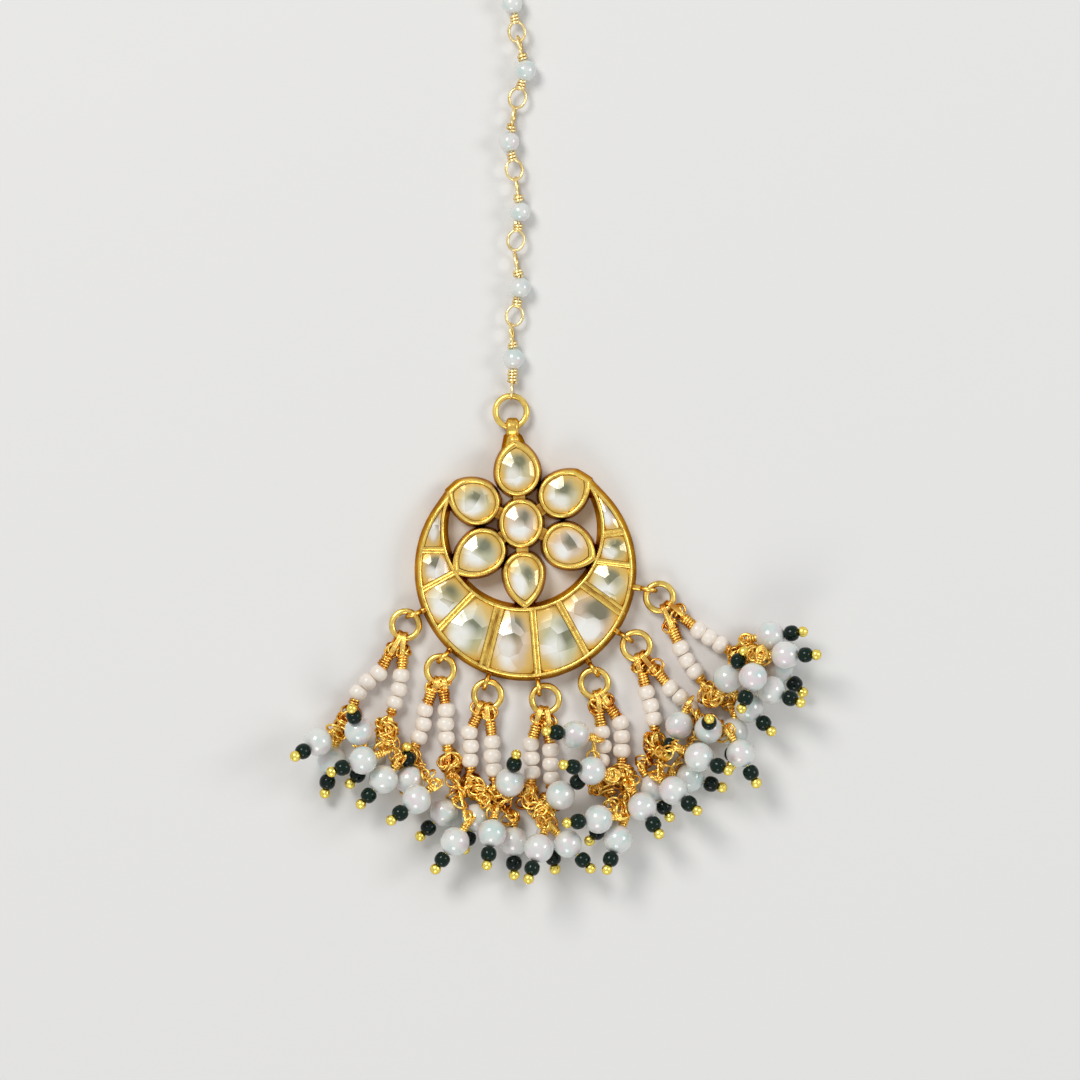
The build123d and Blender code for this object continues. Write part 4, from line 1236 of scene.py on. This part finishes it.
def addStrand(row, number):
    name = row[0]
    dice = random.Random(draws["strand"] + number)
    at = strandPlaces(row)
    level = layout["strandHeight"]
    lines = []
    for near, far in (("hook", "eyeEnd"), ("tailEye", "tailEye")):
        start = vector(at[near], level)
        end = vector(at[far], level)
        along = vector(at["out"], 0.0) if near == far else (end - start).normalized()
        side = along.cross(Vector((0, 0, 1)))
        side = Quaternion(along, dice.uniform(-strandWork["tilt"], strandWork["tilt"])) @ side
        if near == far:
            end = start + along * wireForming["hairline"]
        lines.append((loopPath(start, end, layout["eye"], side, strandWork["loopSpread"],
                               strandWork["loopTurns"]), False))
    for near, far, layers in (("coilStart", "coilEnd", "layers"), ("tailStart", "tailEnd", "tailLayers")):
        start = vector(at[near], level)
        end = vector(at[far], level)
        for radius in strandWork[layers]:
            lines.append((coilPath(start, end, radius, strandWork["coilPitch"], dice), False))
    top = vector(at["eyeEnd"], level)
    for loop in range(clusterWork["topLoops"]):
        radius = dice.uniform(*clusterWork["topRadius"])
        lines.append((tangleLoop(top, radius, clusterWork["topDrift"], dice), False))
    thread = [at["coilStart"], at["coilEnd"], *at["seeds"], at["tailStart"], at["tailEnd"]]
    lines.append(([vector(place, level) for place in thread], False))
    wire = growWire(f"strandWire_{name}", lines, strandWork["wire"], "wireGold")
    places = []
    for index, seed in enumerate(at["seeds"]):
        axis = (vector(thread[index + 3]) - vector(thread[index + 1])).normalized()
        places.append(((*seed, level), (axis[0], axis[1], 0.0)))
    uneven, draw = strandWork["unevenness"], draws["seedBead"] + number
    seeds = growBeads(f"seedBeads_{name}", places, beadShapes["seed"], uneven, draw, "seed")
    finishPiece(wire, "gold")
    finishPiece(seeds, "seed_bead", f"bead_strand_{name}")


for number, row in enumerate(strands):
    addStrand(row, number)
print("bead strands are threaded")


def addCluster(row, number):
    name, knot = row[0], row[5]
    dice = random.Random(draws["cluster"] + number)
    lines, pins = [], []
    pearls, darks, balls = [], [], []
    centre = vector(knot, layout["knotHeight"])
    for loop in range(clusterWork["knotLoops"]):
        radius = dice.uniform(*clusterWork["knotRadius"])
        lines.append((tangleLoop(centre, radius, clusterWork["knotDrift"], dice), False))
    for at in placed[name]:
        axis = Vector(at["axis"])
        near, far = Vector(at["wrapNear"]), Vector(at["wrapFar"])
        lines.append((coilPath(near, far, clusterWork["coilRadius"], clusterWork["coilPitch"], dice), False))
        path = bowPath(far + axis * clusterWork["bowStart"], Vector(at["bend"]), Vector(at["tied"]))
        phase = dice.uniform(0, clusterWork["phase"])
        lines += twistedPair(path, clusterWork["twist"], clusterWork["twistPitch"], phase)
        across = (far - centre).cross(Vector((0, 0, 1))).normalized()
        side = Quaternion(axis, dice.uniform(-clusterWork["eyeTilt"], clusterWork["eyeTilt"])) @ across
        eye = far - axis * clusterWork["eyeBack"]
        turns = loopPath(eye, eye + axis * wireForming["hairline"],
                         dice.uniform(*clusterWork["eyeRadius"]), side,
                         clusterWork["eyeSpread"], clusterWork["eyeTurns"], clusterWork["perTurn"])
        lines.append((pushClear(turns), False))
        for share in clusterWork["tangle"]:
            place = path[int(share * (len(path) - 1))]
            radius = dice.uniform(*clusterWork["tangleRadius"])
            lines.append((tangleLoop(place, radius, clusterWork["tangleDrift"], dice), False))
        inside = Vector(at["pearl"]) + axis * clusterWork["pinInside"]
        pins.append(([near, inside, Vector(at["ball"])], False))
        pearls.append((at["pearl"], at["axis"]))
        darks.append((at["dark"], at["axis"]))
        balls.append((at["ball"], at["axis"]))
    wire = growWire(f"tieWire_{name}", lines, clusterWork["wire"], "wireGold")
    pin = growWire(f"headPins_{name}", pins, clusterWork["pin"], "ballGold")
    uneven = clusterWork["unevenness"]
    pearl = growBeads(f"pearls_{name}", pearls, beadShapes["pearl"], uneven,
                      draws["pearl"] + number, "pearl")
    dark = growBeads(f"darkBeads_{name}", darks, beadShapes["dark"], uneven,
                     draws["darkBead"] + number, "dark")
    ball = growBeads(f"pinBalls_{name}", balls, beadShapes["ball"], uneven,
                     draws["pinBall"] + number, "ballGold")
    for piece in (wire, pin, ball):
        finishPiece(piece, "gold")
    finishPiece(dark, "pearl")
    finishPiece(pearl, "pearl", f"pearl_cluster_{name}")


for number, row in enumerate(strands):
    addCluster(row, number)
print("pearl clusters are tied on")


chainWork = {
    "height": 1.5, "wire": 0.20, "coilRadius": 0.50, "coilPitch": 0.43, "faceReach": 3.85,
    "faceLength": 1.35, "faceWidth": 1.1, "edgeReach": 3.45, "edgeLength": 1.25, "edgeHeight": 1.0,
    "unevenness": 0.06, "endLoop": 1.15, "endClear": 0.55, "tilt": 0.25, "overlap": 0.12,
    "coilClear": 0.05, "coilPast": 0.12, "threadStart": 0.2,
}


# An oval wire loop, closed with a small overlap at its coil.
def ovalLoop(centre, along, side, length, width, count=30):
    up = side.cross(along).normalized()
    points = []
    for index in range(count + 2):
        angle = math.pi + 2 * math.pi * index / count
        shift = side * chainWork["overlap"] * (index / count - 0.5)
        points.append(centre + along * math.cos(angle) * length + up * math.sin(angle) * width + shift)
    return points


def addChain():
    dice = random.Random(draws["chain"])
    level = chainWork["height"]
    route = [vector(place, level) for place in chainRoute]
    lines, pearls = [], []
    up = Vector((0, 0, 1))
    edgeLine = (chainWork["edgeReach"], chainWork["edgeLength"], chainWork["edgeHeight"])
    faceLine = (chainWork["faceReach"], chainWork["faceLength"], chainWork["faceWidth"])
    for index in range(1, len(route), 2):
        pearl = route[index]
        axis = (route[index + 1] - route[index - 1]).normalized()
        pearls.append((tuple(pearl), tuple(axis)))
        below = (route[index - 1] - pearl).normalized()
        above = (route[index + 1] - pearl).normalized()
        ends = [(below, faceLine, up), (above, edgeLine, above.cross(up))]
        for away, (reach, length, width), side in ends:
            last = index == len(route) - 2 and away is above
            first = index == 1 and away is below
            if first or last:
                target = route[0] if first else route[-1]
                length = chainWork["endLoop"]
                width = chainWork["edgeHeight"]
                side = away.cross(up)
                reach = (target - pearl).length - chainWork["endClear"]
            tilt = Quaternion(away, dice.uniform(-chainWork["tilt"], chainWork["tilt"]))
            side = tilt @ side
            centre = pearl + away * reach
            lines.append((ovalLoop(centre, away, side, length, width), False))
            coilStart = pearl + away * (beadSizes["chainPearl"] + chainWork["coilClear"])
            coilEnd = pearl + away * (reach - length + chainWork["coilPast"])
            coil = coilPath(coilStart, coilEnd, chainWork["coilRadius"], chainWork["coilPitch"], dice)
            lines.append((coil, False))
            lines.append(([pearl + away * chainWork["threadStart"], centre - away * length], False))
    wire = growWire("chainWire", lines, chainWork["wire"], "chainGold")
    finishPiece(wire, "gold")
    beads = growBeads("chainPearls", pearls, beadShapes["chainPearl"], chainWork["unevenness"],
                      draws["chainPearl"], "pearl")
    finishPiece(beads, "pearl", "chain")


addChain()
print("chain is linked")

for shape in beadShapes.values():
    bpy.data.objects.remove(shape)
